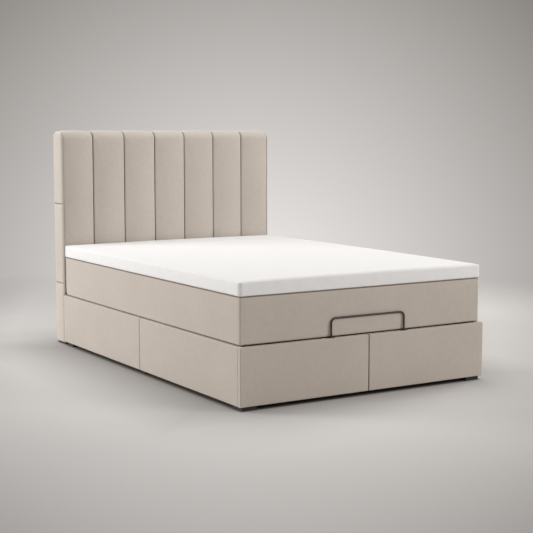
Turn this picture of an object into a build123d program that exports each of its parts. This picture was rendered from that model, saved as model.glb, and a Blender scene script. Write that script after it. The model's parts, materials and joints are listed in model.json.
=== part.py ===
from build123d import *

import os
from math import atan2, degrees, hypot

os.makedirs("parts", exist_ok=True)

# Overall sizes in millimetres. X runs across the bed, Y from the foot to the headboard.
# The base, the topper and the headboard are built round the mattress.
mattress_width = 1386
mattress_length = 1996
base_side_margin = 7
base_foot_margin = 18
base_head_margin = 6
base_top = 290
foot_height = 20
topper_margin = 3
headboard_inset = 5
headboard_height = 1235
headboard_depth = 130
headboard_gap = 6

# Wrapped panels of the base
board_thickness = 16
cover_thickness = 4
cover_hem = 2
lap_thickness = 2
lap_height = 30
seam_round = 3
panel_gap = 0.6

# Inside of the base
post_width = 40
post_height = 194
post_bolt_shares = (0.25, 0.75)
bolt_reach_share = 0.75
batten_width = 120
batten_depth = 36
ledger_depth = 20
ledger_height = 16
floor_thickness = 6
floor_joint = 1
beam_width = 60
foot_width = 80
foot_inset = 15
middle_foot_radius = 25
beam_foot_count = 3
rest_pad_radius = 12
rest_pad_inset = 5

# Mattress and topper
mattress_height = 218
mattress_lift = 4
mattress_corner = 16
mattress_edge = 9
mattress_wall = 8
mattress_side_crown = 3
mattress_foam_height = 40
topper_height = 72
topper_corner = 24
topper_edge = 14
topper_crown = 6
topper_wall = 6
soft_gap = 0.3

# Lid frame and slats
tube_size = 30
tube_wall = 2
frame_foot_setback = 34
frame_head_setback = 60
slat_count = 14
slat_width = 70
slat_thickness = 8
slat_margin = 44
slat_end_gap = 6
holder_wall = 2
holder_reach = 36
holder_side = 4

# Retainer bar at the foot of the mattress
bar_radius = 4.5
bar_span = 420
bar_rise = 92
bar_bend = 25
bar_setback = 9
strap_width = 30
strap_thickness = 3
strap_gap = 0.5
strap_nose = 3
retainer_bolt_radius = 3

# Lift mechanism: setbacks are measured from the head end of the base
arm_thickness = 5
arm_radius = 14
plate_thickness = 5
side_play = 0.6
lap_play = 1
front_arm_foot_setback = 834.5
front_arm_foot_height = 58
front_arm_head_setback = 390.5
front_arm_head_drop = 66
rear_arm_foot_setback = 736.5
rear_arm_foot_height = 131
rear_arm_head_setback = 353.5
rear_arm_head_drop = 28
strut_foot_setback = 460
strut_foot_height = 90
strut_lug = 100
plate_bolt_setbacks = (880, 600, 420)
plate_bolt_height = 58
bracket_bolt_setbacks = (310, 270, 230)
pin_radius = 5
pin_play = 0.06
open_pin_play = 1.7
pin_head_radius = 8
pin_head_height = 2
bolt_radius = 4
bolt_play = 0.3
bolt_head_radius = 7
bolt_head_height = 2.6

# Gas struts
strut_radius = 11
strut_wall = 3
strut_length = 290
strut_cap = 15
strut_play = 2
strut_start = 20
rod_radius = 5
rod_start = 60
piston_length = 12
piston_play = 0.1
eye_radius = 9
eye_width = 12
stud_radius = 4
stud_shoulder_radius = 7
stud_gap = 0.3

# Headboard
channel_count = 7
pad_depth = 50
channel_crown = 4
seam_depth = 11
seam_width = 13
border_start = 6
border_thickness = 12
border_rear_round = 25
border_edge_round = 5
border_seam_heights = (355, 815)
border_seam_gap = 0.5
lower_front_top = 300
lower_front_setback = 4
core_thickness = 18
back_panel_thickness = 4
back_panel_drop = 10
back_panel_round = 22
post_face = 60
rail_height = 60
glide_width = 45
glide_inset = 10
glide_length = 92
spacer_radius = 20
headboard_bolt_spread = 1000
headboard_bolt_heights = (90, 220)

# Through cuts run past the solid by this much
overrun = 1

# Sizes and places that follow
base_width = mattress_width + 2 * base_side_margin
base_length = base_foot_margin + mattress_length + base_head_margin
topper_width = mattress_width + 2 * topper_margin
topper_length = mattress_length + 2 * topper_margin
headboard_width = base_width - 2 * headboard_inset
total_length = base_length + headboard_gap + headboard_depth
foot_y = -total_length / 2
head_y = foot_y + base_length
half_width = base_width / 2
panel_depth = cover_thickness + board_thickness
inner_x = half_width - panel_depth
inner_foot_y = foot_y + panel_depth
inner_head_y = head_y - board_thickness
middle_y = foot_y + base_length / 2
panel_height = base_top - foot_height
board_height = panel_height - cover_thickness - cover_hem
floor_low = foot_height + ledger_height
floor_top = floor_low + floor_thickness
post_top = floor_top + post_height
mattress_low = base_top + mattress_lift
mattress_top = mattress_low + mattress_height
topper_low = mattress_top + soft_gap
frame_top = mattress_low - soft_gap - slat_thickness - 2 * holder_wall
frame_low = frame_top - tube_size
frame_foot_y = foot_y + frame_foot_setback
frame_head_y = head_y - frame_head_setback
front_y = head_y + headboard_gap
back_y = foot_y + total_length
core_front_y = front_y + pad_depth
frame_back_y = back_y - back_panel_thickness
sides = {"left": -1, "right": 1}


def write(piece, name):
    """Labels a finished piece and writes its file."""
    piece.part.label = name
    export_step(piece.part, f"parts/{name}.step")


def block(x, y, z, mode=Mode.ADD):
    """Adds or cuts a rectangular block between pairs of limits."""
    with Locations(((x[0] + x[1]) / 2, (y[0] + y[1]) / 2, (z[0] + z[1]) / 2)):
        Box(abs(x[1] - x[0]), abs(y[1] - y[0]), abs(z[1] - z[0]), mode=mode)


def rod_x(x_from, x_to, points, radius, mode=Mode.ADD):
    """Adds or cuts round rods along X at a list of (y, z) points."""
    with BuildSketch(Plane.YZ.offset(x_from)) as section:
        with Locations(*points):
            Circle(radius)
    extrude(section.sketch, amount=x_to - x_from, mode=mode)


def bore_x(side, x_inner, x_outer, points, radius):
    """Bores through a wall between two distances from the middle of the bed."""
    rod_x(side * (x_inner - overrun), side * (x_outer + overrun), points, radius, Mode.SUBTRACT)


def rod_y(y_from, y_to, points, radius, mode=Mode.ADD):
    """Adds or cuts round rods along Y at a list of (x, z) points."""
    front = Plane(origin=(0, y_from, 0), x_dir=(1, 0, 0), z_dir=(0, -1, 0))
    with BuildSketch(front) as section:
        with Locations(*points):
            Circle(radius)
    extrude(section.sketch, amount=y_from - y_to, mode=mode)


# Wrapped panels: a board in a padded cover, which laps over the top edge to the inside
def board_body(face, length, mode=Mode.ADD):
    with BuildSketch(face.offset(-cover_thickness)) as section:
        with Locations((0, cover_hem)):
            Rectangle(length - 2 * cover_hem, board_height, align=(Align.CENTER, Align.MIN))
    extrude(section.sketch, amount=-board_thickness, mode=mode)


def cover_body(face, length, lap_from, lap_to):
    with BuildSketch(face) as outline:
        Rectangle(length, panel_height, align=(Align.CENTER, Align.MIN))
    extrude(outline.sketch, amount=-panel_depth)
    board_body(face, length, Mode.SUBTRACT)
    with BuildSketch(face.offset(-panel_depth)) as lap:
        with Locations(((lap_from + lap_to) / 2, panel_height)):
            Rectangle(lap_to - lap_from, lap_height, align=(Align.CENTER, Align.MAX))
    extrude(lap.sketch, amount=-lap_thickness)
    outer = faces().sort_by(Axis(face.origin, face.z_dir))[-1]
    fillet(outer.edges(), seam_round)


post_bolt_heights = [floor_top + post_height * share for share in post_bolt_shares]
post_middle_ys = {"foot": inner_foot_y + post_width / 2, "head": inner_head_y - post_width / 2}
bolt_reach = board_thickness * bolt_reach_share

side_length = (base_length - panel_depth - 2 * panel_gap) / 2
side_starts = {"foot": inner_foot_y + panel_gap, "head": head_y - side_length}
for side_name, side in sides.items():
    side_faces = {
        end_name: Plane(
            origin=(side * half_width, start_y + side_length / 2, foot_height),
            x_dir=(0, side, 0),
            z_dir=(side, 0, 0),
        )
        for end_name, start_y in side_starts.items()
    }
    with BuildPart() as side_boards:
        for end_name, panel_face in side_faces.items():
            board_body(panel_face, side_length)
            rod_x(
                side * (inner_x - overrun),
                side * (inner_x + bolt_reach + bolt_play),
                [(post_middle_ys[end_name], z) for z in post_bolt_heights],
                bolt_radius + bolt_play,
                Mode.SUBTRACT,
            )
    write(side_boards, f"side_boards_{side_name}")
    for end_name, panel_face in side_faces.items():
        with BuildPart() as side_cover:
            cover_body(panel_face, side_length, -side_length / 2, side_length / 2)
        write(side_cover, f"side_cover_{side_name}_{end_name}")

foot_length = half_width - panel_gap / 2
foot_lap = foot_length - panel_depth - lap_thickness - panel_gap
foot_faces = {
    side_name: Plane(
        origin=(side * (half_width - foot_length / 2), foot_y, foot_height),
        x_dir=(1, 0, 0),
        z_dir=(0, -1, 0),
    )
    for side_name, side in sides.items()
}
with BuildPart() as foot_boards:
    for panel_face in foot_faces.values():
        board_body(panel_face, foot_length)
write(foot_boards, "foot_boards")

for side_name, side in sides.items():
    lap_ends = sorted((-side * foot_length / 2, side * (foot_lap - foot_length / 2)))
    with BuildPart() as foot_cover:
        cover_body(foot_faces[side_name], foot_length, lap_ends[0], lap_ends[1])
    write(foot_cover, f"foot_cover_{side_name}")

# Plain board at the head end, drilled for the headboard bolts
headboard_bolt_points = [
    (side * headboard_bolt_spread / 2, z) for side in sides.values() for z in headboard_bolt_heights
]
with BuildPart() as head_board:
    block(
        (-inner_x, inner_x),
        (inner_head_y, head_y),
        (foot_height + cover_hem, base_top - lap_height),
    )
    rod_y(
        inner_head_y - overrun,
        head_y + overrun,
        headboard_bolt_points,
        bolt_radius + bolt_play,
        Mode.SUBTRACT,
    )
write(head_board, "head_board")

# Posts in the four corners and battens behind the panel seams
with BuildPart() as corner_posts:
    for side in sides.values():
        for post_y in post_middle_ys.values():
            block(
                (side * (inner_x - post_width), side * inner_x),
                (post_y - post_width / 2, post_y + post_width / 2),
                (floor_top, post_top),
            )
            bolt_points = [(post_y, z) for z in post_bolt_heights]
            bore_x(side, inner_x - post_width, inner_x, bolt_points, bolt_radius + bolt_play)
write(corner_posts, "corner_posts")

with BuildPart() as seam_battens:
    for side in sides.values():
        block(
            (side * (inner_x - batten_depth), side * inner_x),
            (middle_y - batten_width / 2, middle_y + batten_width / 2),
            (floor_top, post_top),
        )
    block(
        (-batten_width / 2, batten_width / 2),
        (inner_foot_y, inner_foot_y + batten_depth),
        (floor_top, post_top),
    )
write(seam_battens, "seam_battens")

# Floor of the storage space: ledgers round the inside, a middle beam and two panels
with BuildPart() as floor_ledgers:
    for side in sides.values():
        block(
            (side * (inner_x - ledger_depth), side * inner_x),
            (inner_foot_y, inner_head_y),
            (foot_height, floor_low),
        )
    cross_x = inner_x - ledger_depth - panel_gap
    block(
        (-cross_x, cross_x),
        (inner_foot_y, inner_foot_y + ledger_depth),
        (foot_height, floor_low),
    )
    block(
        (-cross_x, cross_x),
        (inner_head_y - ledger_depth, inner_head_y),
        (foot_height, floor_low),
    )
write(floor_ledgers, "floor_ledgers")

beam_start_y = inner_foot_y + ledger_depth
beam_end_y = inner_head_y - ledger_depth
with BuildPart() as floor_beam:
    block(
        (-beam_width / 2, beam_width / 2),
        (beam_start_y, beam_end_y),
        (foot_height, floor_low),
    )
write(floor_beam, "floor_beam")

with BuildPart() as storage_floor:
    for side in sides.values():
        block(
            (side * floor_joint / 2, side * inner_x),
            (inner_foot_y, inner_head_y),
            (floor_low, floor_top),
        )
write(storage_floor, "storage_floor")

# Low feet under the corners, and round ones under the beam and the side seams
corner_foot_x = half_width - foot_inset - foot_width / 2
corner_foot_ys = (
    foot_y + foot_inset + foot_width / 2,
    head_y - foot_inset - foot_width / 2,
)
with BuildPart() as corner_feet:
    for side in sides.values():
        for corner_y in corner_foot_ys:
            block(
                (
                    side * (corner_foot_x - foot_width / 2),
                    side * (corner_foot_x + foot_width / 2),
                ),
                (corner_y - foot_width / 2, corner_y + foot_width / 2),
                (0, foot_height),
            )
write(corner_feet, "corner_feet")

beam_foot_ys = [
    beam_start_y + (beam_end_y - beam_start_y) * (n + 0.5) / beam_foot_count
    for n in range(beam_foot_count)
]
seam_foot_x = inner_x - ledger_depth / 2 - middle_foot_radius / 2
with BuildPart() as middle_feet:
    with BuildSketch():
        with Locations(*[(0, y) for y in beam_foot_ys]):
            Circle(middle_foot_radius)
        with Locations(*[(side * seam_foot_x, middle_y) for side in sides.values()]):
            Circle(middle_foot_radius)
    extrude(amount=foot_height)
write(middle_feet, "middle_feet")

# Frame of the lid: five square tubes
plate_outer_x = inner_x - lap_thickness - lap_play - arm_thickness - side_play
plate_inner_x = plate_outer_x - plate_thickness
tube_inner_x = plate_inner_x - tube_size


def tube(x, y, z, along, closed):
    """A square tube; a closed one has its ends capped."""
    limits = [sorted(x), sorted(y), sorted(z)]
    block(*limits)
    end = tube_wall if closed else -overrun
    inner = [
        (low + (end if n == along else tube_wall), high - (end if n == along else tube_wall))
        for n, (low, high) in enumerate(limits)
    ]
    block(*inner, mode=Mode.SUBTRACT)


frame_z = (frame_low, frame_top)
bracket_ys = [head_y - setback for setback in bracket_bolt_setbacks]
bracket_z = (frame_low + frame_top) / 2
bracket_points = [(y, bracket_z) for y in bracket_ys]
for side_name, side in sides.items():
    with BuildPart() as frame_tube_side:
        tube(
            (side * tube_inner_x, side * plate_inner_x),
            (frame_foot_y, frame_head_y),
            frame_z,
            along=1,
            closed=True,
        )
        rod_x(
            side * (plate_inner_x + overrun),
            side * (plate_inner_x - tube_wall - overrun),
            bracket_points,
            bolt_radius + bolt_play,
            Mode.SUBTRACT,
        )
    write(frame_tube_side, f"frame_tube_{side_name}")

cross_tubes = {
    "foot": (frame_foot_y, frame_foot_y + tube_size),
    "head": (frame_head_y - tube_size, frame_head_y),
}
retainer_bolt_y = frame_foot_y + tube_size / 2
retainer_bolt_points = [(side * bar_span / 2, retainer_bolt_y) for side in sides.values()]
for end_name, tube_y in cross_tubes.items():
    with BuildPart() as frame_tube_cross:
        tube((-tube_inner_x, tube_inner_x), tube_y, frame_z, along=0, closed=False)
        if end_name == "foot":
            with BuildSketch(Plane.XY.offset(frame_top - tube_wall - overrun)):
                with Locations(*retainer_bolt_points):
                    Circle(retainer_bolt_radius + bolt_play)
            extrude(amount=tube_wall + 2 * overrun, mode=Mode.SUBTRACT)
    write(frame_tube_cross, f"frame_tube_{end_name}")

with BuildPart() as frame_tube_middle:
    tube(
        (-tube_size / 2, tube_size / 2),
        (frame_foot_y + tube_size, frame_head_y - tube_size),
        frame_z,
        along=1,
        closed=False,
    )
write(frame_tube_middle, "frame_tube_middle")

# Rubber pads that the closed lid rests on
rest_x = inner_x - rest_pad_inset - batten_depth / 2
rest_foot_y = frame_foot_y + rest_pad_radius
with BuildPart() as lid_rest_pads:
    with BuildSketch(Plane.XY.offset(post_top)):
        with Locations(
            *[(side * rest_x, y) for side in sides.values() for y in (rest_foot_y, middle_y)],
            (0, rest_foot_y),
        ):
            Circle(rest_pad_radius)
    extrude(amount=frame_low - soft_gap - post_top)
write(lid_rest_pads, "lid_rest_pads")

# Slats in plastic holders on the side tubes, with a saddle on the middle tube
slat_low = frame_top + holder_wall
slat_end_x = plate_inner_x - slat_end_gap
slat_first_y = frame_foot_y + tube_size + slat_margin
slat_last_y = frame_head_y - slat_margin
slat_ys = [
    slat_first_y + (slat_last_y - slat_first_y) * n / (slat_count - 1) for n in range(slat_count)
]
with BuildPart() as slats:
    for slat_y in slat_ys:
        block(
            (-slat_end_x, slat_end_x),
            (slat_y - slat_width / 2, slat_y + slat_width / 2),
            (slat_low, slat_low + slat_thickness),
        )
write(slats, "slats")

holder_outer_x = slat_end_x + holder_side
holder_half = slat_width / 2 + holder_side
with BuildPart() as slat_holders:
    for slat_y in slat_ys:
        for side in sides.values():
            block(
                (side * (holder_outer_x - holder_reach), side * holder_outer_x),
                (slat_y - holder_half, slat_y + holder_half),
                (frame_top, slat_low + slat_thickness + holder_wall),
            )
            block(
                (side * (holder_outer_x - holder_reach - overrun), side * slat_end_x),
                (slat_y - slat_width / 2, slat_y + slat_width / 2),
                (slat_low, slat_low + slat_thickness),
                mode=Mode.SUBTRACT,
            )
        block(
            (-tube_size / 2, tube_size / 2),
            (slat_y - slat_width / 2, slat_y + slat_width / 2),
            (frame_top, slat_low),
        )
write(slat_holders, "slat_holders")

# Retainer bar: a bent rod on two straps that reach over the base's edge to the lid frame
bar_y = foot_y + bar_setback
strap_low = base_top + strap_gap
strap_top = strap_low + strap_thickness
strap_end_y = frame_foot_y + tube_size
bar_top_z = strap_top + bar_rise - bar_radius
with BuildPart() as retainer_bar:
    with BuildLine():
        FilletPolyline(
            (-bar_span / 2, bar_y, strap_low),
            (-bar_span / 2, bar_y, bar_top_z),
            (bar_span / 2, bar_y, bar_top_z),
            (bar_span / 2, bar_y, strap_low),
            radius=bar_bend,
        )
    with BuildSketch(Plane(origin=(-bar_span / 2, bar_y, strap_low))):
        Circle(bar_radius)
    sweep()
    for side in sides.values():
        strap_x = (side * bar_span / 2 - strap_width / 2, side * bar_span / 2 + strap_width / 2)
        block(strap_x, (foot_y + strap_nose, strap_end_y), (strap_low, strap_top))
        block(strap_x, (frame_foot_y, strap_end_y), (frame_top, strap_low))
    with Locations(*[(x, y, strap_top) for x, y in retainer_bolt_points]):
        CounterSinkHole(
            radius=retainer_bolt_radius + bolt_play,
            counter_sink_radius=2 * retainer_bolt_radius + bolt_play,
            depth=strap_top - frame_top,
        )
write(retainer_bar, "retainer_bar")

# Lift mechanism. Points are (y, z); the arms turn about the X axis.
front_arm_foot = (head_y - front_arm_foot_setback, front_arm_foot_height)
front_arm_head = (head_y - front_arm_head_setback, base_top - front_arm_head_drop)
rear_arm_foot = (head_y - rear_arm_foot_setback, rear_arm_foot_height)
rear_arm_head = (head_y - rear_arm_head_setback, base_top - rear_arm_head_drop)
strut_foot = (head_y - strut_foot_setback, strut_foot_height)
strut_head = (front_arm_foot[0], front_arm_foot[1] + strut_lug)
plate_bolt_points = [(head_y - setback, plate_bolt_height) for setback in plate_bolt_setbacks]
front_arm_outer_x = plate_inner_x - side_play
front_arm_inner_x = front_arm_outer_x - arm_thickness
rear_arm_inner_x = plate_outer_x + side_play
rear_arm_outer_x = rear_arm_inner_x + arm_thickness
strut_x = front_arm_inner_x - strut_play - strut_radius


def link(side, x_inner, start, end, radius, thickness):
    """A flat link with round ends between two (y, z) points."""
    run_y = end[0] - start[0]
    run_z = end[1] - start[1]
    with BuildSketch(Plane.YZ.offset(side * x_inner)) as outline:
        with Locations(((start[0] + end[0]) / 2, (start[1] + end[1]) / 2)):
            SlotCenterToCenter(hypot(run_y, run_z), 2 * radius, rotation=degrees(atan2(run_z, run_y)))
    extrude(outline.sketch, amount=side * thickness)


with BuildPart() as lift_plates:
    for side in sides.values():
        with BuildSketch(Plane.YZ.offset(side * plate_inner_x)):
            with Locations(*plate_bolt_points, rear_arm_foot, strut_foot):
                Circle(arm_radius)
            make_hull()
        extrude(amount=side * plate_thickness)
        pin_points = [front_arm_foot, rear_arm_foot]
        bore_x(side, plate_inner_x, plate_outer_x, pin_points, pin_radius)
        bore_x(side, plate_inner_x, plate_outer_x, [strut_foot], stud_radius)
        bore_x(side, plate_inner_x, plate_outer_x, plate_bolt_points, bolt_radius + bolt_play)
write(lift_plates, "lift_plates")

with BuildPart() as front_arms:
    for side in sides.values():
        link(side, front_arm_inner_x, front_arm_foot, front_arm_head, arm_radius, arm_thickness)
        link(side, front_arm_inner_x, front_arm_foot, strut_head, arm_radius, arm_thickness)
        pin_points = [front_arm_foot, front_arm_head]
        bore_x(side, front_arm_inner_x, front_arm_outer_x, pin_points, pin_radius + pin_play)
write(front_arms, "front_arms")

with BuildPart() as rear_arms:
    for side in sides.values():
        link(side, rear_arm_inner_x, rear_arm_foot, rear_arm_head, arm_radius, arm_thickness)
        bore_x(side, rear_arm_inner_x, rear_arm_outer_x, [rear_arm_foot], pin_radius + pin_play)
        bore_x(
            side, rear_arm_inner_x, rear_arm_outer_x, [rear_arm_head], pin_radius + open_pin_play
        )
write(rear_arms, "rear_arms")

with BuildPart() as platform_brackets:
    for side in sides.values():
        with BuildSketch(Plane.YZ.offset(side * plate_inner_x)):
            with Locations(front_arm_head, rear_arm_head, bracket_points[-1]):
                Circle(arm_radius)
            make_hull()
        extrude(amount=side * plate_thickness)
        pin_points = [front_arm_head, rear_arm_head]
        bore_x(side, plate_inner_x, plate_outer_x, pin_points, pin_radius)
        bore_x(side, plate_inner_x, plate_outer_x, bracket_points, bolt_radius + bolt_play)
write(platform_brackets, "platform_brackets")

# Bolts of the plates, with sleeves that hold each plate off the board
with BuildPart() as plate_spacers:
    for side in sides.values():
        rod_x(side * plate_outer_x, side * inner_x, plate_bolt_points, bolt_head_radius)
        bore_x(side, plate_outer_x, inner_x, plate_bolt_points, bolt_radius + bolt_play)
write(plate_spacers, "plate_spacers")

# Bolts of the base, seen from inside: through the posts, the lift plates and the head board
with BuildPart() as base_bolts:
    for side in sides.values():
        for post_y in post_middle_ys.values():
            bolt_points = [(post_y, z) for z in post_bolt_heights]
            head_x = side * (inner_x - post_width)
            rod_x(head_x, side * (inner_x + bolt_reach), bolt_points, bolt_radius)
            rod_x(head_x, head_x - side * bolt_head_height, bolt_points, bolt_head_radius)
        head_x = side * plate_inner_x
        rod_x(head_x, side * inner_x, plate_bolt_points, bolt_radius)
        rod_x(head_x, head_x - side * bolt_head_height, plate_bolt_points, bolt_head_radius)
    bolt_end_y = core_front_y + core_thickness - bolt_play
    head_end_y = inner_head_y - bolt_head_height
    rod_y(inner_head_y, bolt_end_y, headboard_bolt_points, bolt_radius)
    rod_y(head_end_y, inner_head_y, headboard_bolt_points, bolt_head_radius)
write(base_bolts, "base_bolts")

# Bolts of the lid: the brackets to the side tubes, the bar's straps to the foot tube
with BuildPart() as lid_bolts:
    for side in sides.values():
        head_x = side * plate_outer_x
        rod_x(side * (plate_inner_x - 2 * tube_wall), head_x, bracket_points, bolt_radius)
        rod_x(head_x, head_x + side * bolt_head_height, bracket_points, bolt_head_radius)
    with BuildSketch(Plane.XY.offset(frame_top - 2 * tube_wall)) as bar_bolts:
        with Locations(*retainer_bolt_points):
            Circle(retainer_bolt_radius)
    extrude(bar_bolts.sketch, amount=strap_top - frame_top + 2 * tube_wall)
    cone_z = strap_top - retainer_bolt_radius / 2
    with Locations(*[(x, y, cone_z) for x, y in retainer_bolt_points]):
        Cone(
            bottom_radius=retainer_bolt_radius,
            top_radius=2 * retainer_bolt_radius,
            height=retainer_bolt_radius,
        )
write(lid_bolts, "lid_bolts")

# Pins on the base: front and rear arm feet, and the strut's lower stud
with BuildPart() as base_pivot_pins:
    for side in sides.values():
        pin_end_x = front_arm_inner_x - side_play
        rod_x(side * plate_outer_x, side * pin_end_x, [front_arm_foot], pin_radius)
        rod_x(
            side * pin_end_x,
            side * (pin_end_x - pin_head_height),
            [front_arm_foot],
            pin_head_radius,
        )
        pin_end_x = rear_arm_outer_x + side_play
        rod_x(side * plate_inner_x, side * pin_end_x, [rear_arm_foot], pin_radius)
        rod_x(
            side * pin_end_x,
            side * (pin_end_x + pin_head_height),
            [rear_arm_foot],
            pin_head_radius,
        )
        eye_outer_x = strut_x + eye_width / 2
        eye_inner_x = strut_x - eye_width / 2
        rod_x(side * plate_outer_x, side * (eye_inner_x - stud_gap), [strut_foot], stud_radius)
        rod_x(
            side * plate_inner_x,
            side * (eye_outer_x + stud_gap),
            [strut_foot],
            stud_shoulder_radius,
        )
        rod_x(
            side * (eye_inner_x - stud_gap),
            side * (eye_inner_x - stud_gap - pin_head_height),
            [strut_foot],
            stud_shoulder_radius,
        )
write(base_pivot_pins, "base_pivot_pins")

# Pins on the lid's brackets: a running one for the front arm, a loose one for the rear arm
with BuildPart() as platform_pivot_pins:
    for side in sides.values():
        pin_end_x = front_arm_inner_x - side_play
        rod_x(side * plate_outer_x, side * pin_end_x, [front_arm_head], pin_radius)
        rod_x(
            side * pin_end_x,
            side * (pin_end_x - pin_head_height),
            [front_arm_head],
            pin_head_radius,
        )
        rod_x(side * plate_inner_x, side * rear_arm_outer_x, [rear_arm_head], pin_radius)
write(platform_pivot_pins, "platform_pivot_pins")

# Gas struts, drawn along the line from the lower stud to the lug of the front arm
strut_run_y = strut_head[0] - strut_foot[0]
strut_run_z = strut_head[1] - strut_foot[1]
strut_reach = hypot(strut_run_y, strut_run_z)
strut_direction = (0, strut_run_y / strut_reach, strut_run_z / strut_reach)


def strut_length_of(plane, start, end, radius, mode=Mode.ADD):
    """Adds or cuts a round length of the strut between two distances from its lower stud."""
    with BuildSketch(plane.offset(start)) as section:
        Circle(radius)
    extrude(section.sketch, amount=end - start, mode=mode)


def strut_eye(side, point):
    """The eye at one end of the strut, bored for its stud."""
    rod_x(
        side * (strut_x - eye_width / 2),
        side * (strut_x + eye_width / 2),
        [point],
        eye_radius,
    )
    bore_x(side, strut_x - eye_width / 2, strut_x + eye_width / 2, [point], stud_radius + pin_play)


strut_planes = {
    side: Plane(
        origin=(side * strut_x, strut_foot[0], strut_foot[1]),
        x_dir=(1, 0, 0),
        z_dir=strut_direction,
    )
    for side in sides.values()
}
with BuildPart() as gas_cylinders:
    for side, plane in strut_planes.items():
        strut_length_of(plane, stud_radius, strut_start, rod_radius)
        strut_length_of(plane, strut_start, strut_length, strut_radius)
        strut_eye(side, strut_foot)
        strut_length_of(
            plane,
            strut_start + strut_wall,
            strut_length - strut_cap,
            strut_radius - strut_wall,
            Mode.SUBTRACT,
        )
        strut_length_of(
            plane,
            strut_length - strut_cap - overrun,
            strut_length + overrun,
            rod_radius + pin_play,
            Mode.SUBTRACT,
        )
write(gas_cylinders, "gas_cylinders")

with BuildPart() as gas_rods:
    for side, plane in strut_planes.items():
        strut_length_of(plane, rod_start, strut_reach - stud_radius, rod_radius)
        strut_length_of(
            plane,
            rod_start,
            rod_start + piston_length,
            strut_radius - strut_wall - piston_play,
        )
        strut_eye(side, strut_head)
write(gas_rods, "gas_rods")

with BuildPart() as rod_studs:
    for side in sides.values():
        rod_x(
            side * (front_arm_inner_x - stud_gap),
            side * (strut_x - eye_width / 2 - stud_gap),
            [strut_head],
            stud_radius,
        )
        rod_x(
            side * (front_arm_inner_x - stud_gap),
            side * (strut_x + eye_width / 2 + stud_gap),
            [strut_head],
            stud_shoulder_radius,
        )
        rod_x(
            side * (strut_x - eye_width / 2 - stud_gap),
            side * (strut_x - eye_width / 2 - stud_gap - pin_head_height),
            [strut_head],
            stud_shoulder_radius,
        )
write(rod_studs, "rod_studs")

# Mattress and topper: slabs with round corners and edges, crowned where nothing rests on them
def soft_slab(width, length, middle, low, height, corner, edge, side_crown, top_crown):
    """A soft slab whose sides draw in towards the corners and whose top may be crowned."""
    half_w = width / 2
    half_l = length / 2
    drawn_x = half_w - side_crown
    drawn_y = half_l - side_crown
    turn_x = half_w - corner
    turn_y = half_l - corner
    sides_of_plan = [
        ((-turn_x, -drawn_y), (0, -half_l), (turn_x, -drawn_y)),
        ((drawn_x, -turn_y), (half_w, 0), (drawn_x, turn_y)),
        ((turn_x, drawn_y), (0, half_l), (-turn_x, drawn_y)),
        ((-drawn_x, turn_y), (-half_w, 0), (-drawn_x, -turn_y)),
    ]
    with BuildSketch(Plane.XY.offset(low)) as plan:
        with BuildLine():
            arcs = [
                ThreePointArc(*[(x, y + middle) for x, y in points]) for points in sides_of_plan
            ]
            for n, arc in enumerate(arcs):
                TangentArc(arc @ 1, arcs[(n + 1) % len(arcs)] @ 0, tangent=arc % 1)
        make_face()
    extrude(plan.sketch, amount=height)
    if top_crown:
        with BuildSketch(Plane.XZ.offset(-middle - half_l - overrun)) as profile:
            with BuildLine():
                ThreePointArc(
                    (-half_w - overrun, low + height - top_crown),
                    (0, low + height),
                    (half_w + overrun, low + height - top_crown),
                )
                Polyline(
                    (-half_w - overrun, low + height - top_crown),
                    (-half_w - overrun, low - overrun),
                    (half_w + overrun, low - overrun),
                    (half_w + overrun, low + height - top_crown),
                )
            make_face()
        extrude(profile.sketch, amount=length + 2 * overrun, mode=Mode.INTERSECT)
    rims = edges().filter_by(lambda e: abs(e.tangent_at(0.5).Z) < 0.5)
    fillet(rims.group_by(Axis.Z)[0] + rims.sort_by(Axis.Z)[-8:], edge)


mattress_middle = foot_y + base_foot_margin + mattress_length / 2


def core_block(half_w, half_l, z, corner, mode=Mode.ADD):
    """Adds or cuts the room inside a cover, whose upright corners follow the cover's."""
    with BuildSketch(Plane.XY.offset(z[0])) as section:
        with Locations((0, mattress_middle)):
            RectangleRounded(2 * half_w, 2 * half_l, corner)
    extrude(section.sketch, amount=z[1] - z[0], mode=mode)


core_corner = mattress_corner - mattress_wall
topper_core_corner = topper_corner - topper_wall
core_x = mattress_width / 2 - mattress_wall - mattress_side_crown
core_y = mattress_length / 2 - mattress_wall - mattress_side_crown
core_low = mattress_low + mattress_wall
core_top = mattress_top - mattress_wall
foam_low = core_top - mattress_foam_height
with BuildPart() as mattress_cover:
    soft_slab(
        mattress_width,
        mattress_length,
        mattress_middle,
        mattress_low,
        mattress_height,
        mattress_corner,
        mattress_edge,
        mattress_side_crown,
        0,
    )
    core_block(core_x, core_y, (core_low, core_top), core_corner, Mode.SUBTRACT)
write(mattress_cover, "mattress_cover")

with BuildPart() as mattress_spring_core:
    core_block(core_x, core_y, (core_low, foam_low), core_corner)
write(mattress_spring_core, "mattress_spring_core")

with BuildPart() as mattress_foam:
    core_block(core_x, core_y, (foam_low, core_top), core_corner)
write(mattress_foam, "mattress_foam")

topper_core_x = topper_width / 2 - topper_wall - mattress_side_crown
topper_core_y = topper_length / 2 - topper_wall - mattress_side_crown
topper_core_low = topper_low + topper_wall
topper_core_top = topper_low + topper_height - topper_crown - topper_wall
with BuildPart() as topper_cover:
    soft_slab(
        topper_width,
        topper_length,
        mattress_middle,
        topper_low,
        topper_height,
        topper_corner,
        topper_edge,
        mattress_side_crown,
        topper_crown,
    )
    core_block(
        topper_core_x,
        topper_core_y,
        (topper_core_low, topper_core_top),
        topper_core_corner,
        Mode.SUBTRACT,
    )
write(topper_cover, "topper_cover")

with BuildPart() as topper_core:
    core_block(
        topper_core_x, topper_core_y, (topper_core_low, topper_core_top), topper_core_corner
    )
write(topper_core, "topper_core")

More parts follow.
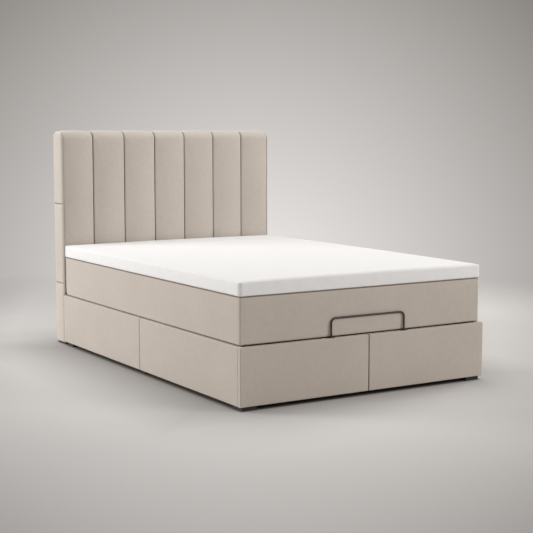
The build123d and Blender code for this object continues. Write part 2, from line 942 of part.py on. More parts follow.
# Headboard: padded channels that run up the front and roll over the top to the back
roll_z = headboard_height - pad_depth
half_headboard = headboard_width / 2
channel_width = headboard_width / channel_count
border_inner_x = half_headboard - border_thickness


def channel_profile(plane, x_from, x_to):
    """Cross-section of one channel: local X across the bed, local Y from the front into the pad."""
    with BuildSketch(plane) as section:
        with BuildLine():
            crown = ThreePointArc(
                (x_from + seam_width, channel_crown),
                ((x_from + x_to) / 2, 0),
                (x_to - seam_width, channel_crown),
            )
            TangentArc(crown @ 1, (x_to, seam_depth), tangent=crown % 1)
            TangentArc(crown @ 0, (x_from, seam_depth), tangent=-(crown % 0))
            Polyline(
                (x_to, seam_depth),
                (x_to, pad_depth),
                (x_from, pad_depth),
                (x_from, seam_depth),
            )
        make_face()
    return section.sketch


front_plane = Plane(origin=(0, front_y, lower_front_top))
roll_plane = Plane(origin=(0, front_y, roll_z))
top_plane = Plane(
    origin=(0, core_front_y, headboard_height),
    x_dir=(1, 0, 0),
    z_dir=(0, 1, 0),
)
for n in range(channel_count):
    x_from = max(-border_inner_x, n * channel_width - half_headboard)
    x_to = min(border_inner_x, (n + 1) * channel_width - half_headboard)
    with BuildPart() as headboard_channel:
        extrude(
            channel_profile(front_plane, x_from, x_to),
            amount=roll_z - lower_front_top,
        )
        revolve(
            channel_profile(roll_plane, x_from, x_to),
            axis=Axis((0, core_front_y, roll_z), (-1, 0, 0)),
            revolution_arc=90,
        )
        extrude(
            channel_profile(top_plane, x_from, x_to),
            amount=frame_back_y - core_front_y,
        )
    write(headboard_channel, f"headboard_channel_{n + 1}")

# Plain pad behind the base, between the floor and the channels
pad_front_y = front_y + lower_front_setback
with BuildPart() as headboard_lower_front:
    block(
        (-border_inner_x, border_inner_x),
        (pad_front_y, core_front_y),
        (foot_height, lower_front_top),
    )
    rod_y(
        pad_front_y - overrun,
        core_front_y + overrun,
        headboard_bolt_points,
        bolt_radius + bolt_play,
        Mode.SUBTRACT,
    )
write(headboard_lower_front, "headboard_lower_front")

# Side borders: three lengths each, rounded at the top and along their sewn edges
border_top = headboard_height - border_start
border_bounds = (foot_height, *border_seam_heights, border_top)
for side_name, side in sides.items():
    with BuildPart() as headboard_border:
        for low, high in zip(border_bounds[:-1], border_bounds[1:]):
            seam_room = border_seam_gap if high != border_top else 0
            block(
                (side * border_inner_x, side * half_headboard),
                (front_y + border_start, frame_back_y),
                (low, high - seam_room),
            )
        top_edges = headboard_border.edges().filter_by(Axis.X).group_by(Axis.Z)[-1]
        fillet(top_edges.sort_by(Axis.Y)[0], pad_depth - border_start)
        top_edges = headboard_border.edges().filter_by(Axis.X).group_by(Axis.Z)[-1]
        fillet(top_edges.sort_by(Axis.Y)[-1], border_rear_round)
        outer_faces = headboard_border.faces().sort_by(Axis((0, 0, 0), (side, 0, 0)))[-3:]
        fillet(outer_faces.edges(), border_edge_round)
    write(headboard_border, f"headboard_border_{side_name}")

with BuildPart() as headboard_core:
    block(
        (-border_inner_x, border_inner_x),
        (core_front_y, core_front_y + core_thickness),
        (foot_height, roll_z),
    )
    rod_y(
        core_front_y - overrun,
        core_front_y + core_thickness + overrun,
        headboard_bolt_points,
        bolt_radius + bolt_play,
        Mode.SUBTRACT,
    )
write(headboard_core, "headboard_core")

post_y = (core_front_y + core_thickness, frame_back_y)
with BuildPart() as headboard_posts:
    for side in sides.values():
        block(
            (side * (border_inner_x - post_face), side * border_inner_x),
            post_y,
            (foot_height, roll_z),
        )
write(headboard_posts, "headboard_posts")

rail_x = border_inner_x - post_face
rail_lows = (
    foot_height,
    (foot_height + roll_z - rail_height) / 2,
    roll_z - rail_height,
)
with BuildPart() as headboard_rails:
    for low in rail_lows:
        block((-rail_x, rail_x), post_y, (low, low + rail_height))
write(headboard_rails, "headboard_rails")

with BuildPart() as headboard_back_panel:
    block(
        (-half_headboard, half_headboard),
        (frame_back_y, back_y),
        (foot_height, headboard_height - back_panel_drop),
    )
    fillet(
        headboard_back_panel.edges().filter_by(Axis.Y).group_by(Axis.Z)[-1],
        back_panel_round,
    )
write(headboard_back_panel, "headboard_back_panel")

with BuildPart() as headboard_glides:
    for side in sides.values():
        block(
            (
                side * (half_headboard - glide_inset - glide_width),
                side * (half_headboard - glide_inset),
            ),
            (back_y - glide_inset - glide_length, back_y - glide_inset),
            (0, foot_height),
        )
write(headboard_glides, "headboard_glides")

# Spacers between the base's head board and the headboard
with BuildPart() as headboard_spacers:
    rod_y(head_y, pad_front_y, headboard_bolt_points, spacer_radius)
    rod_y(
        head_y - overrun,
        pad_front_y + overrun,
        headboard_bolt_points,
        bolt_radius + bolt_play,
        Mode.SUBTRACT,
    )
write(headboard_spacers, "headboard_spacers")
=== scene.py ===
# %% [markdown]
# # Upholstered storage bed
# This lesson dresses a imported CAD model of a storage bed: a box of wrapped panels, a
# mattress on a lifting lid, a knitted topper and a padded headboard with seven upright
# channels. The CAD gives every place and size. Blender adds cloth, seams and finishes.

# %% Load the model
import bpy
import bmesh
import json
import math
import time
import numpy as np
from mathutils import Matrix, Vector


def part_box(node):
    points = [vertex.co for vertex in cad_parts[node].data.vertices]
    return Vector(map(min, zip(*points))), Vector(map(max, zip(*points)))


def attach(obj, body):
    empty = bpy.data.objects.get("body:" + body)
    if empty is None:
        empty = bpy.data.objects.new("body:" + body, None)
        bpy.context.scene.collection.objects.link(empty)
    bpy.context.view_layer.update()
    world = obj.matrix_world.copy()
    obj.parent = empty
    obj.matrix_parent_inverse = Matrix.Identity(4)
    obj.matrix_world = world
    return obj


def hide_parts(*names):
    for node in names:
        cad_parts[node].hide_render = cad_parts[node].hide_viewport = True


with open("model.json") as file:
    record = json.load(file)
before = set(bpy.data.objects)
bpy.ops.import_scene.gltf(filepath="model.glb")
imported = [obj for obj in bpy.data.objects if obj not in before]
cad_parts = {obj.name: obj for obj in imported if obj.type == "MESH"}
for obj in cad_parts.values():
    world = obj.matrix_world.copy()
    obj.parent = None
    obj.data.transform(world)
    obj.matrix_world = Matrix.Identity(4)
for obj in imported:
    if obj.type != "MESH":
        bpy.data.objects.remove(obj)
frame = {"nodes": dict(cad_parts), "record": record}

scene = bpy.context.scene
mm = 0.001
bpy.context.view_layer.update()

# %% [markdown]
# ## Camera
# The view was found by matching the corners of the bed to the picture: the camera stands
# in front and to the left, at the height of the headboard's top, with a long lens. A long
# lens far away keeps the upright edges nearly parallel, as in a catalogue picture.

# %% Camera
camera_data = bpy.data.cameras.new("camera")
camera_data.sensor_width = 36
camera_data.lens = 83.45
camera = bpy.data.objects.new("camera", camera_data)
scene.collection.objects.link(camera)
camera_yaw, camera_pitch = math.radians(31.5), math.radians(6.4)
camera.location = (-3.395, -5.697, 1.250)
camera.rotation_euler = (math.pi / 2 - camera_pitch, 0, -camera_yaw)
scene.camera = camera
scene.view_settings.view_transform = "Standard"
print("camera at", tuple(round(c, 3) for c in camera.location))

# %% [markdown]
# ## Writing a finish in Python
# A finish is a tree of nodes. Placing each node by hand takes many lines, so a small class
# wraps one socket and lets it stand in a sum: `1 - mask * 0.3` adds its own Math nodes.
# Colours go through Mix nodes, because a Math node would turn them grey.

# %% A socket that can stand in a sum
class Wire:
    """One shader socket. Each operator adds one Math node to the finish it belongs to."""

    def __init__(self, finish, socket):
        self.finish, self.socket = finish, socket

    def __add__(self, other):
        return self.finish.maths("ADD", self, other)

    def __radd__(self, other):
        return self.finish.maths("ADD", other, self)

    def __sub__(self, other):
        return self.finish.maths("SUBTRACT", self, other)

    def __rsub__(self, other):
        return self.finish.maths("SUBTRACT", other, self)

    def __mul__(self, other):
        return self.finish.maths("MULTIPLY", self, other)

    def __rmul__(self, other):
        return self.finish.maths("MULTIPLY", other, self)

    def __pow__(self, other):
        return self.finish.maths("POWER", self, other)

    def wave(self, pitch):
        """A sine wave from -1 to 1 that repeats every pitch."""
        return self.finish.maths("SINE", self * (2 * math.pi / pitch))


print("sockets can be added, subtracted, multiplied and raised to a power")

# %% A finish and its nodes
class Finish:
    """A material whose nodes are added one at a time."""

    def __init__(self, name):
        self.material = bpy.data.materials.new(name)
        self.material.use_nodes = True
        self.tree = self.material.node_tree
        self.tree.nodes.clear()
        self.end = self.tree.nodes.new("ShaderNodeOutputMaterial")

    def node(self, kind, settings=None, inputs=(), output=0):
        """Adds a node: first its settings, then the values or links of its sockets."""
        new = self.tree.nodes.new(kind)
        for key, value in (settings or {}).items():
            setattr(new, key, value)
        pairs = inputs.items() if isinstance(inputs, dict) else enumerate(inputs)
        for key, value in pairs:
            if isinstance(value, Wire):
                self.tree.links.new(value.socket, new.inputs[key])
            else:
                new.inputs[key].default_value = value
        return Wire(self, new.outputs[output])

    def maths(self, operation, *values):
        """Adds one Math node."""
        return self.node("ShaderNodeMath", {"operation": operation}, values)

    def share_of(self, vector, axis):
        """One coordinate of a point: axis is 0, 1 or 2."""
        return self.node("ShaderNodeSeparateXYZ", {}, [vector], axis)

    def dot(self, vector, way):
        """How far a point lies along a direction."""
        settings = {"operation": "DOT_PRODUCT"}
        return self.node("ShaderNodeVectorMath", settings, [vector, way], "Value")

    def place(self, scale=(1, 1, 1), source="Object"):
        """The point on the piece in metres, scaled along each axis."""
        spot = self.node("ShaderNodeTexCoord", output=source)
        return self.node("ShaderNodeMapping", {}, {"Vector": spot, "Scale": scale})

    def noise(self, place, scale, detail=2, roughness=0.5, distortion=0):
        sockets = {"Vector": place, "Scale": scale, "Detail": detail}
        sockets.update(Roughness=roughness, Distortion=distortion)
        return self.node("ShaderNodeTexNoise", {}, sockets)

    def cells(self, place, scale, output=0):
        """Voronoi cells: output 0 is how far a point lies from its cell's middle."""
        sockets = {"Vector": place, "Scale": scale}
        return self.node("ShaderNodeTexVoronoi", {}, sockets, output)

    def stretch(self, value, low, high, to_low=0, to_high=1):
        """Moves a value from one range to another and stops at its ends."""
        return self.node("ShaderNodeMapRange", {}, [value, low, high, to_low, to_high])

    def spread(self, noise, to_low=0, to_high=1):
        """Stretches noise, most of which lies between 0.3 and 0.7, over a new range."""
        return self.stretch(noise, 0.3, 0.7, to_low, to_high)

    def mix(self, share, first, second):
        """Goes from the first colour to the second as share goes from 0 to 1."""
        sockets = {0: share, 6: first, 7: second}
        return self.node("ShaderNodeMix", {"data_type": "RGBA"}, sockets, output=2)

    def bump(self, height, strength, distance, before=None):
        """Tilts the light by a height from 0 to 1. before is a bump that this adds to."""
        sockets = {"Strength": strength, "Distance": distance, "Height": height}
        if before:
            sockets["Normal"] = before
        return self.node("ShaderNodeBump", {}, sockets)

    def close(self, **sockets):
        """Ends the finish in one Principled shader, with names like Base_Color."""
        inputs = {key.replace("_", " "): value for key, value in sockets.items()}
        shader = self.node("ShaderNodeBsdfPrincipled", {}, inputs)
        self.tree.links.new(shader.socket, self.end.inputs[0])
        return self.material


print("finish tools ready, such as", Finish.noise.__name__, "and", Finish.bump.__name__)


# %% Colours on the screen
def tint(red, green, blue):
    """A colour given as screen values from 0 to 255, as the shader wants it."""
    shares = [c / 255 for c in (red, green, blue)]
    return (*[((s + 0.055) / 1.055) ** 2.4 if s > 0.04 else s / 12.92 for s in shares], 1)


print("screen value 128 is", round(tint(128, 128, 128)[0], 3), "in the shader")

# %% [markdown]
# ## Upholstery cloth
# The bed wears a fine flat weave in greige: yarns a little over a millimetre apart, some
# thicker than others, with a soft nap. The yarns follow the cloth, so the pattern reads
# the piece's own map in metres. Two sine waves crossed make the weave, long stretched
# noise makes the uneven yarns, and slow noise gives the cloud of a large piece of cloth.
# The nap is worn a little lighter on the rounded edges, and shade is painted darker into the
# creases.

# %% Upholstery cloth
YARN = 1.5 * mm


def cloth_map(finish):
    """The place on the cloth in metres: the point, and how far across and along it lies."""
    spot = finish.node("ShaderNodeUVMap", {"uv_map": "cloth"})
    return spot, finish.share_of(spot, 0), finish.share_of(spot, 1)


def weave(finish, pitch):
    """Height of a plain weave from 0 to 1, and how much each yarn differs."""
    spot, across, along = cloth_map(finish)
    warp, weft = across.wave(pitch), along.wave(pitch)
    height = 0.5 + warp * 0.22 + weft * 0.22 + warp * weft * 0.2
    fine, drawn_out = 700, 22
    upright, level = [
        finish.node("ShaderNodeMapping", {}, {"Vector": spot, "Scale": scale})
        for scale in ((fine, drawn_out, 1), (drawn_out, fine, 1))
    ]
    slub = finish.noise(upright, 1, 2) * 0.5 + finish.noise(level, 1, 2) * 0.5
    return height, slub


def edge_wear_and_crease_shade(finish):
    """From -1 in a crease to 1 on a sharp edge, measured on the mesh."""
    return finish.node("ShaderNodeAttribute", {"attribute_name": "edge"}, output="Fac")


def upholstery(name, colour, deep):
    finish = Finish(name)
    height, slub = weave(finish, YARN)
    spot = finish.place()
    cloud = finish.noise(spot, 3.2, 3, 0.55)
    patch = finish.noise(spot, 38, 3, 0.6)
    nap = finish.noise(spot, 420, 2, 0.6)
    shade = height * 0.28 + slub * 0.5 + cloud * 0.3 + patch * 0.3 + nap * 0.25
    wear = edge_wear_and_crease_shade(finish)
    body = finish.mix(finish.stretch(shade, 0.45, 1.15), deep, colour)
    # Worn edges turn paler, and in creases the edge mark paints shade as a darker brown.
    rubbed, sunk = finish.stretch(wear, 0, 0.5, 0, 0.22), finish.stretch(wear, 0, -0.6, 0, 0.8)
    light = finish.mix(rubbed, body, tint(226, 218, 207))
    crease = finish.mix(sunk, light, tint(98, 86, 76))
    soft = finish.bump(patch * 0.7 + cloud * 0.3, 0.18, 1.6 * mm)
    threads = finish.bump(height * 0.7 + slub * 0.5 + nap * 0.3, 0.35, 0.35 * mm, soft)
    return finish.close(
        Base_Color=crease,
        Roughness=finish.spread(nap, 0.82, 0.95),
        Normal=threads,
        Sheen_Weight=0.18,
        Sheen_Roughness=0.5,
        Specular_IOR_Level=0.25,
    )


# One cloth in three copies with painted light: the headboard's copy is a little lighter than
# the base's, and the mattress's one step lighter.
greige, greige_painted_lighter_mattress, greige_painted_lighter_headboard = [
    upholstery(f"greige flat weave on the {piece}", colour, deep)
    for piece, colour, deep in (
        ("base", tint(202, 191, 180), tint(177, 166, 155)),
        ("mattress", tint(203, 192, 181), tint(178, 167, 156)),
        ("headboard", tint(207, 197, 187), tint(182, 172, 162)),
    )
]
print("cloths", greige.name, greige_painted_lighter_mattress.name, greige_painted_lighter_headboard.name)

# %% [markdown]
# ## Knit, lining and fillings
# The topper's cover is a thick white stretch knit with small raised rows. Behind the
# headboard is a plain non-woven lining. Foam and the fleece round the springs never show,
# but each has its own finish, because the parts are also used one by one.

# %% Knit of the topper
def knit():
    finish = Finish("white stretch knit")
    _, across, along = cloth_map(finish)
    loops, rows = across.wave(3 * mm), along.wave(4.5 * mm)
    field = finish.place()
    soft = finish.noise(field, 26, 3, 0.6)
    fuzz = finish.noise(field, 500, 2, 0.6)
    height = 0.5 + rows * 0.25 + rows * loops * 0.2 + fuzz * 0.2
    share = finish.stretch(height * 0.5 + soft * 0.5, 0.2, 0.8)
    white = finish.mix(share, tint(227, 224, 222), tint(240, 238, 236))
    # Painted shade: where the edge mark says crease, the white knit turns greyer.
    sunk = finish.stretch(edge_wear_and_crease_shade(finish), 0, -0.6, 0, 0.4)
    crease = finish.mix(sunk, white, tint(196, 190, 184))
    swell = finish.bump(soft, 0.25, 2.5 * mm)
    return finish.close(
        Base_Color=crease,
        Roughness=finish.spread(fuzz, 0.85, 0.97),
        Normal=finish.bump(height, 0.4, 0.5 * mm, swell),
        Sheen_Weight=0.12,
        Specular_IOR_Level=0.2,
    )


white_knit = knit()
print("knit", white_knit.name)


# %% Lining, foam and fleece
def lining():
    finish = Finish("taupe non-woven lining")
    spot = finish.place()
    fibres = finish.noise(spot, 900, 3, 0.7, 1.5)
    dimples = finish.cells(spot, 420)
    cloud = finish.noise(spot, 5, 3)
    share = finish.spread(fibres * 0.6 + cloud * 0.4)
    return finish.close(
        Base_Color=finish.mix(share, tint(142, 132, 121), tint(163, 152, 140)),
        Roughness=finish.spread(fibres, 0.85, 0.95),
        Normal=finish.bump(dimples + fibres * 0.5, 0.3, 0.3 * mm),
        Specular_IOR_Level=0.2,
    )


def foam(name, pale, deep, per_metre):
    finish = Finish(name)
    spot = finish.place()
    holes = finish.cells(spot, per_metre)
    cloud = finish.noise(spot, 8, 2)
    share = finish.stretch(holes * 0.7 + cloud * 0.4, 0.1, 0.7)
    return finish.close(
        Base_Color=finish.mix(share, deep, pale),
        Roughness=finish.spread(cloud, 0.88, 0.96),
        Normal=finish.bump(holes, 0.5, 0.6 * mm),
    )


back_lining = lining()
cut_foam = foam("cut foam", tint(238, 230, 206), tint(214, 203, 174), 700)
fleece = foam("spring fleece", tint(222, 222, 219), tint(200, 200, 197), 260)
print("soft finishes", back_lining.name, cut_foam.name, fleece.name)

# %% [markdown]
# ## Wood
# Planed softwood has growth rings that run along the piece, so the noise is squeezed
# across the grain and stretched along it. Each direction of timber gets its own copy,
# because the pattern reads the object's own coordinates. Chipboard is pressed flakes: two
# sizes of Voronoi cells in several browns.

# %% Timber, ply and board
def timber(name, along, pale, deep):
    """Planed wood with its grain along axis 0, 1 or 2."""
    finish = Finish(name)
    fine, coarse = [220.0] * 3, [16.0] * 3
    fine[along], coarse[along] = 4.0, 0.7
    rings = finish.noise(finish.place(coarse), 1, 3, 0.5, 0.8)
    stripe = finish.maths("SINE", rings * 26) * 0.5 + 0.5
    pores = finish.noise(finish.place(fine), 1, 3, 0.6)
    share = finish.stretch(stripe * 0.55 + pores * 0.6, 0.15, 0.95)
    return finish.close(
        Base_Color=finish.mix(share, deep, pale),
        Roughness=finish.spread(pores, 0.5, 0.68),
        Normal=finish.bump(pores + stripe * 0.2, 0.25, 0.3 * mm),
    )


pine = (tint(222, 190, 143), tint(190, 150, 100))
pine_x, pine_y, pine_z = [timber(f"pine {'xyz'[n]}", n, *pine) for n in range(3)]
birch_slats = timber("lacquered birch slats", 0, tint(232, 206, 165), tint(206, 172, 124))


def flakes(name, pale, middle, deep, scale, coat):
    finish = Finish(name)
    spot = finish.place()
    large = finish.cells(spot, scale, "Color")
    small = finish.cells(spot, scale * 2.7, "Color")
    chip = finish.node("ShaderNodeSeparateColor", {}, [large], 0)
    crumb = finish.node("ShaderNodeSeparateColor", {}, [small], 1)
    body = finish.mix(chip, middle, pale)
    return finish.close(
        Base_Color=finish.mix(finish.stretch(crumb, 0.55, 1, 0, 0.6), body, deep),
        Roughness=finish.stretch(crumb, 0, 1, 0.6, 0.78),
        Normal=finish.bump(chip + crumb, 0.2, 0.25 * mm),
        Coat_Weight=coat,
        Coat_Roughness=0.4,
    )


chipboard = flakes(
    "raw chipboard", tint(214, 184, 142), tint(186, 152, 108), tint(134, 98, 62), 190, 0
)
coated_board = flakes(
    "coated floor board", tint(196, 184, 168), tint(188, 175, 158), tint(172, 158, 140), 60,
    0.15,
)
print("woods", pine_x.name, birch_slats.name, chipboard.name, coated_board.name)

# %% [markdown]
# ## Metal, plastic and rubber
# Powder coat is a slightly pebbled paint, with paler scuffs in a few small spots. Zinc
# plate on the bolts is mottled and a little rough, the strut rods are hard chrome, and
# the feet are moulded plastic with a fine spark-eroded grain.

# %% Powder coat and moulded plastic
def painted(name, colour, lighter, roughness, pebble):
    finish = Finish(name)
    spot = finish.place()
    peel = finish.noise(spot, pebble, 2, 0.5)
    rub = finish.noise(spot, 34, 4, 0.65)
    scuffs = finish.stretch(rub, 0.62, 0.74, 0, 0.5)
    return finish.close(
        Base_Color=finish.mix(scuffs, colour, lighter),
        Roughness=finish.spread(rub, roughness - 0.08, roughness + 0.1),
        Normal=finish.bump(peel, 0.22, 0.25 * mm),
        Specular_IOR_Level=0.45,
    )


dark_frame = painted("dark powder coat", tint(50, 48, 48), tint(72, 70, 69), 0.45, 900)
brown_bar = painted("dark brown powder coat", tint(56, 44, 36), tint(82, 68, 58), 0.38, 900)
grey_arms = painted("grey powder coat", tint(70, 70, 73), tint(98, 98, 100), 0.4, 900)
black_enamel = painted("black enamel", tint(28, 28, 30), tint(48, 48, 50), 0.22, 300)
brown_plastic = painted("dark brown plastic", tint(44, 39, 33), tint(60, 54, 47), 0.55, 1500)
black_plastic = painted("black plastic", tint(38, 38, 40), tint(58, 58, 60), 0.5, 1500)
black_rubber = painted("black rubber", tint(30, 30, 30), tint(46, 46, 46), 0.75, 1800)
print("coats", dark_frame.name, brown_bar.name, grey_arms.name, brown_plastic.name)


# %% Zinc and chrome
def plated(name, colour, darker, smooth, rough):
    finish = Finish(name)
    spot = finish.place()
    mottle = finish.noise(spot, 240, 4, 0.7)
    marks = finish.noise(finish.place((30, 30, 900)), 1, 3, 0.6)
    return finish.close(
        Base_Color=finish.mix(finish.spread(mottle), darker, colour),
        Metallic=1.0,
        Roughness=finish.spread(mottle, smooth, rough),
        Normal=finish.bump(marks, 0.08, 0.1 * mm),
    )


zinc = plated("zinc plate", tint(172, 174, 178), tint(140, 142, 147), 0.32, 0.5)
chrome = plated("polished rod", tint(201, 203, 206), tint(188, 190, 194), 0.06, 0.12)
print("metals", zinc.name, chrome.name)

# %% [markdown]
# ## Finishes on the CAD parts
# Most hard parts keep their CAD shape, and only their plain material is exchanged. The
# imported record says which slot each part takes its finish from.

# %% Put the finishes on the CAD parts
slot_finish = {
    "foam": cut_foam,
    "spring_core": fleece,
    "panel_board": chipboard,
    "timber": pine_z,
    "floor_panel": coated_board,
    "slat_wood": birch_slats,
    "foot_plastic": brown_plastic,
    "spacer_plastic": black_plastic,
    "pad_rubber": black_rubber,
    "frame_steel": dark_frame,
    "bar_steel": brown_bar,
    "mechanism_steel": grey_arms,
    "cylinder_steel": black_enamel,
    "rod_steel": chrome,
    "fastener_steel": zinc,
    "base_fabric": greige,
    "headboard_fabric": greige_painted_lighter_headboard,
    "headboard_back": back_lining,
    "mattress_fabric": greige_painted_lighter_mattress,
    "topper_knit": white_knit,
}
node_finish = {"headboard_rails": pine_x, "floor_beam": pine_y, "floor_ledgers": pine_y}
node_slots = {sub["node"]: sub["material_slot"] for sub in frame["record"]["subparts"]}
for name, node in frame["nodes"].items():
    material = node_finish.get(name) or slot_finish[node_slots[name]]
    for place in node.material_slots:
        place.material = material
print("dressed", len(frame["nodes"]), "CAD parts")

# %% [markdown]
# ## Grids for padded pieces
# Every padded piece starts as a closed skin of square cells. The lines of the grid are
# close together near edges and seams, where the cloth turns, and further apart on the
# flats. Square corners are then pushed onto round ones. Pads with an open outline, such
# as the channels, are two grids joined by a wall. Grids keep their lines after a cloth
# simulation, so seams stay sharp, which a remesh would lose.

# %% Cut lines and the skin of a box
def cuts(low, high, zone, near, far, extra=()):
    """Places from low to high: near apart in the end zones and far apart between them."""
    ends = np.arange(0, zone, near)
    count = max(2, round((high - low - 2 * zone) / far) + 1)
    middle = np.linspace(low + zone, high - zone, count)
    return np.unique(np.concatenate([low + ends, middle, high - ends, extra]).round(6))


def box_skin(*places):
    """Points and faces of a closed box that is cut along three lists of places."""
    index, points, faces = {}, [], []

    def corner(*steps):
        if steps not in index:
            index[steps] = len(points)
            points.append([places[axis][steps[axis]] for axis in range(3)])
        return index[steps]

    for flat in (2, 1, 0):
        u, v = [axis for axis in range(3) if axis != flat]
        for side in (0, len(places[flat]) - 1):
            for i, j in np.ndindex(len(places[u]) - 1, len(places[v]) - 1):
                face = []
                for a, b in ((0, 0), (1, 0), (1, 1), (0, 1)):
                    steps = [side, side, side]
                    steps[u], steps[v] = i + a, j + b
                    face.append(corner(*steps))
                faces.append(face)
    return np.array(points), faces


def quilt(rows, columns, first=0):
    """Faces of a closed pad: a front grid and a back grid, joined by a wall all round."""
    half = rows * columns
    faces = []
    for r, c in np.ndindex(rows - 1, columns - 1):
        a = first + r * columns + c
        b = a + half
        faces.append((a, a + 1, a + columns + 1, a + columns))
        faces.append((b, b + columns, b + columns + 1, b + 1))
    rim = [r * columns for r in range(rows)]
    rim += [(rows - 1) * columns + c for c in range(1, columns)]
    rim += [r * columns + columns - 1 for r in range(rows - 2, -1, -1)]
    rim += range(columns - 2, 0, -1)
    for a, b in zip(rim, rim[1:] + rim[:1]):
        faces.append((first + a, first + b, first + half + b, first + half + a))
    return faces


sample = cuts(0, 1, zone=0.05, near=0.01, far=0.1)
print("a cut line of 0 to 1 m has", len(sample), "places")

# %% Round the edges of a skin
def squeeze(a, b):
    """Moves two shares of a square corner, each from 0 to 1, onto a quarter circle."""
    return a * np.sqrt(1 - b * b / 2), b * np.sqrt(1 - a * a / 2)


def rounded(points, low, high, corner, edges):
    """Rounds a slab: corner is its radius in plan, edges are those below and above.

    The first two axes are the slab's plan and the third is its thickness. Two values for
    corner are those at the second axis's low and high end.
    """
    middle, half = (low + high) / 2, (high - low) / 2
    q = points - middle
    sign = np.where(q < 0, -1, 1)
    edge = np.where(q[:, 2] < 0, edges[0], edges[1])
    corner = np.broadcast_to(corner, 2)
    corners = np.where(q[:, 1] < 0, corner[0], corner[1])
    q = abs(q)
    out = np.clip(q[:, :2] - (half[:2] - edge[:, None]), 0, None)
    ring = out.max(axis=1) / edge
    up = np.clip(q[:, 2] - (half[2] - edge), 0, None) / edge
    ring_to, up_to = squeeze(ring, up)
    share = np.where(ring > 0, ring_to / np.maximum(ring, 1e-9), 1)
    q[:, :2] += out * (share[:, None] - 1)
    q[:, 2] = np.where(up > 0, half[2] - edge * (1 - up_to), q[:, 2])
    over = np.clip(q[:, :2] - (half[:2] - corners[:, None]), 0, None) / corners[:, None]
    a, b = squeeze(over[:, 0], over[:, 1])
    for axis, to in ((0, a), (1, b)):
        turned = half[axis] - corners * (1 - to)
        q[:, axis] = np.where(over[:, axis] > 0, turned, q[:, axis])
    return middle + sign * q


def from_edge(spots, low, high, axes):
    """How far each point is from the nearest end of a box, along the given axes."""
    ends = [(spots[:, axis] - low[axis], high[axis] - spots[:, axis]) for axis in axes]
    return np.minimum.reduce([distance for pair in ends for distance in pair])


print("a corner at 45 degrees moves to", [round(float(to), 3) for to in squeeze(1, 1)])

# %% [markdown]
# ## From points to a finished soft piece
# Each soft piece gets the same last steps: a mesh with outward faces, a map in metres for
# the cloth's yarns, and a mark on every point that says how sharply the surface bends
# there. The finishes read that mark for worn edges and for shade painted into creases.

# %% Mesh, map and edge mark
def mesh_piece(name, points, faces, material):
    mesh = bpy.data.meshes.new(name)
    mesh.from_pydata([tuple(p) for p in points], [], faces)
    build = bmesh.new()
    build.from_mesh(mesh)
    bmesh.ops.remove_doubles(build, verts=build.verts, dist=1e-6)
    bmesh.ops.recalc_face_normals(build, faces=build.faces)
    build.to_mesh(mesh)
    build.free()
    mesh.shade_smooth()
    mesh.materials.append(material)
    piece = bpy.data.objects.new(name, mesh)
    scene.collection.objects.link(piece)
    return piece


def coordinates(mesh):
    flat = np.empty(len(mesh.vertices) * 3, dtype=np.float32)
    mesh.vertices.foreach_get("co", flat)
    return flat.reshape(-1, 3).astype(float)


def move_points(mesh, points):
    mesh.vertices.foreach_set("co", points.astype(np.float32).ravel())
    mesh.update()


def map_cloth(mesh):
    """A map in metres: each face is laid flat along the axis that it looks at most."""
    mesh.update()
    spots = coordinates(mesh)
    layer = mesh.uv_layers.new(name="cloth")
    corner_points = np.empty(len(mesh.loops), dtype=np.int32)
    mesh.loops.foreach_get("vertex_index", corner_points)
    normals = np.empty(len(mesh.polygons) * 3, dtype=np.float32)
    mesh.polygons.foreach_get("normal", normals)
    counts = np.empty(len(mesh.polygons), dtype=np.int32)
    mesh.polygons.foreach_get("loop_total", counts)
    facing = np.repeat(abs(normals.reshape(-1, 3)).argmax(axis=1), counts)
    across = np.where(facing == 0, 1, 0)
    along = np.where(facing == 2, 1, 2)
    rows = spots[corner_points]
    pick = np.arange(len(rows))
    flat = np.stack([rows[pick, across], rows[pick, along]], axis=1)
    layer.data.foreach_set("uv", flat.astype(np.float32).ravel())


def mark_edges(mesh):
    """Writes how much each point stands proud (1) or lies in a crease (-1)."""
    rounds_of_smoothing, strength = 2, 3
    build = bmesh.new()
    build.from_mesh(mesh)
    build.normal_update()
    bend = np.zeros(len(build.verts))
    for n, point in enumerate(build.verts):
        total = 0
        for edge in point.link_edges:
            away = edge.other_vert(point).co - point.co
            if away.length > 1e-9:
                total -= point.normal.dot(away.normalized())
        bend[n] = total / max(1, len(point.link_edges))
    pairs = np.array([[v.index for v in edge.verts] for edge in build.edges])
    build.free()
    for _ in range(rounds_of_smoothing):
        total, count = bend.copy(), np.ones(len(bend))
        for a, b in ((0, 1), (1, 0)):
            np.add.at(total, pairs[:, a], bend[pairs[:, b]])
            np.add.at(count, pairs[:, a], 1)
        bend = total / count
    mark = mesh.attributes.new("edge", "FLOAT", "POINT")
    mark.data.foreach_set("value", np.clip(bend * strength, -1, 1).astype(np.float32))


print("mesh helpers ready: a piece's cloth map and its edge mark are worked out from its mesh")

# %% Swell a piece with cloth
swells = {}
CLOTH_STEPS = 20


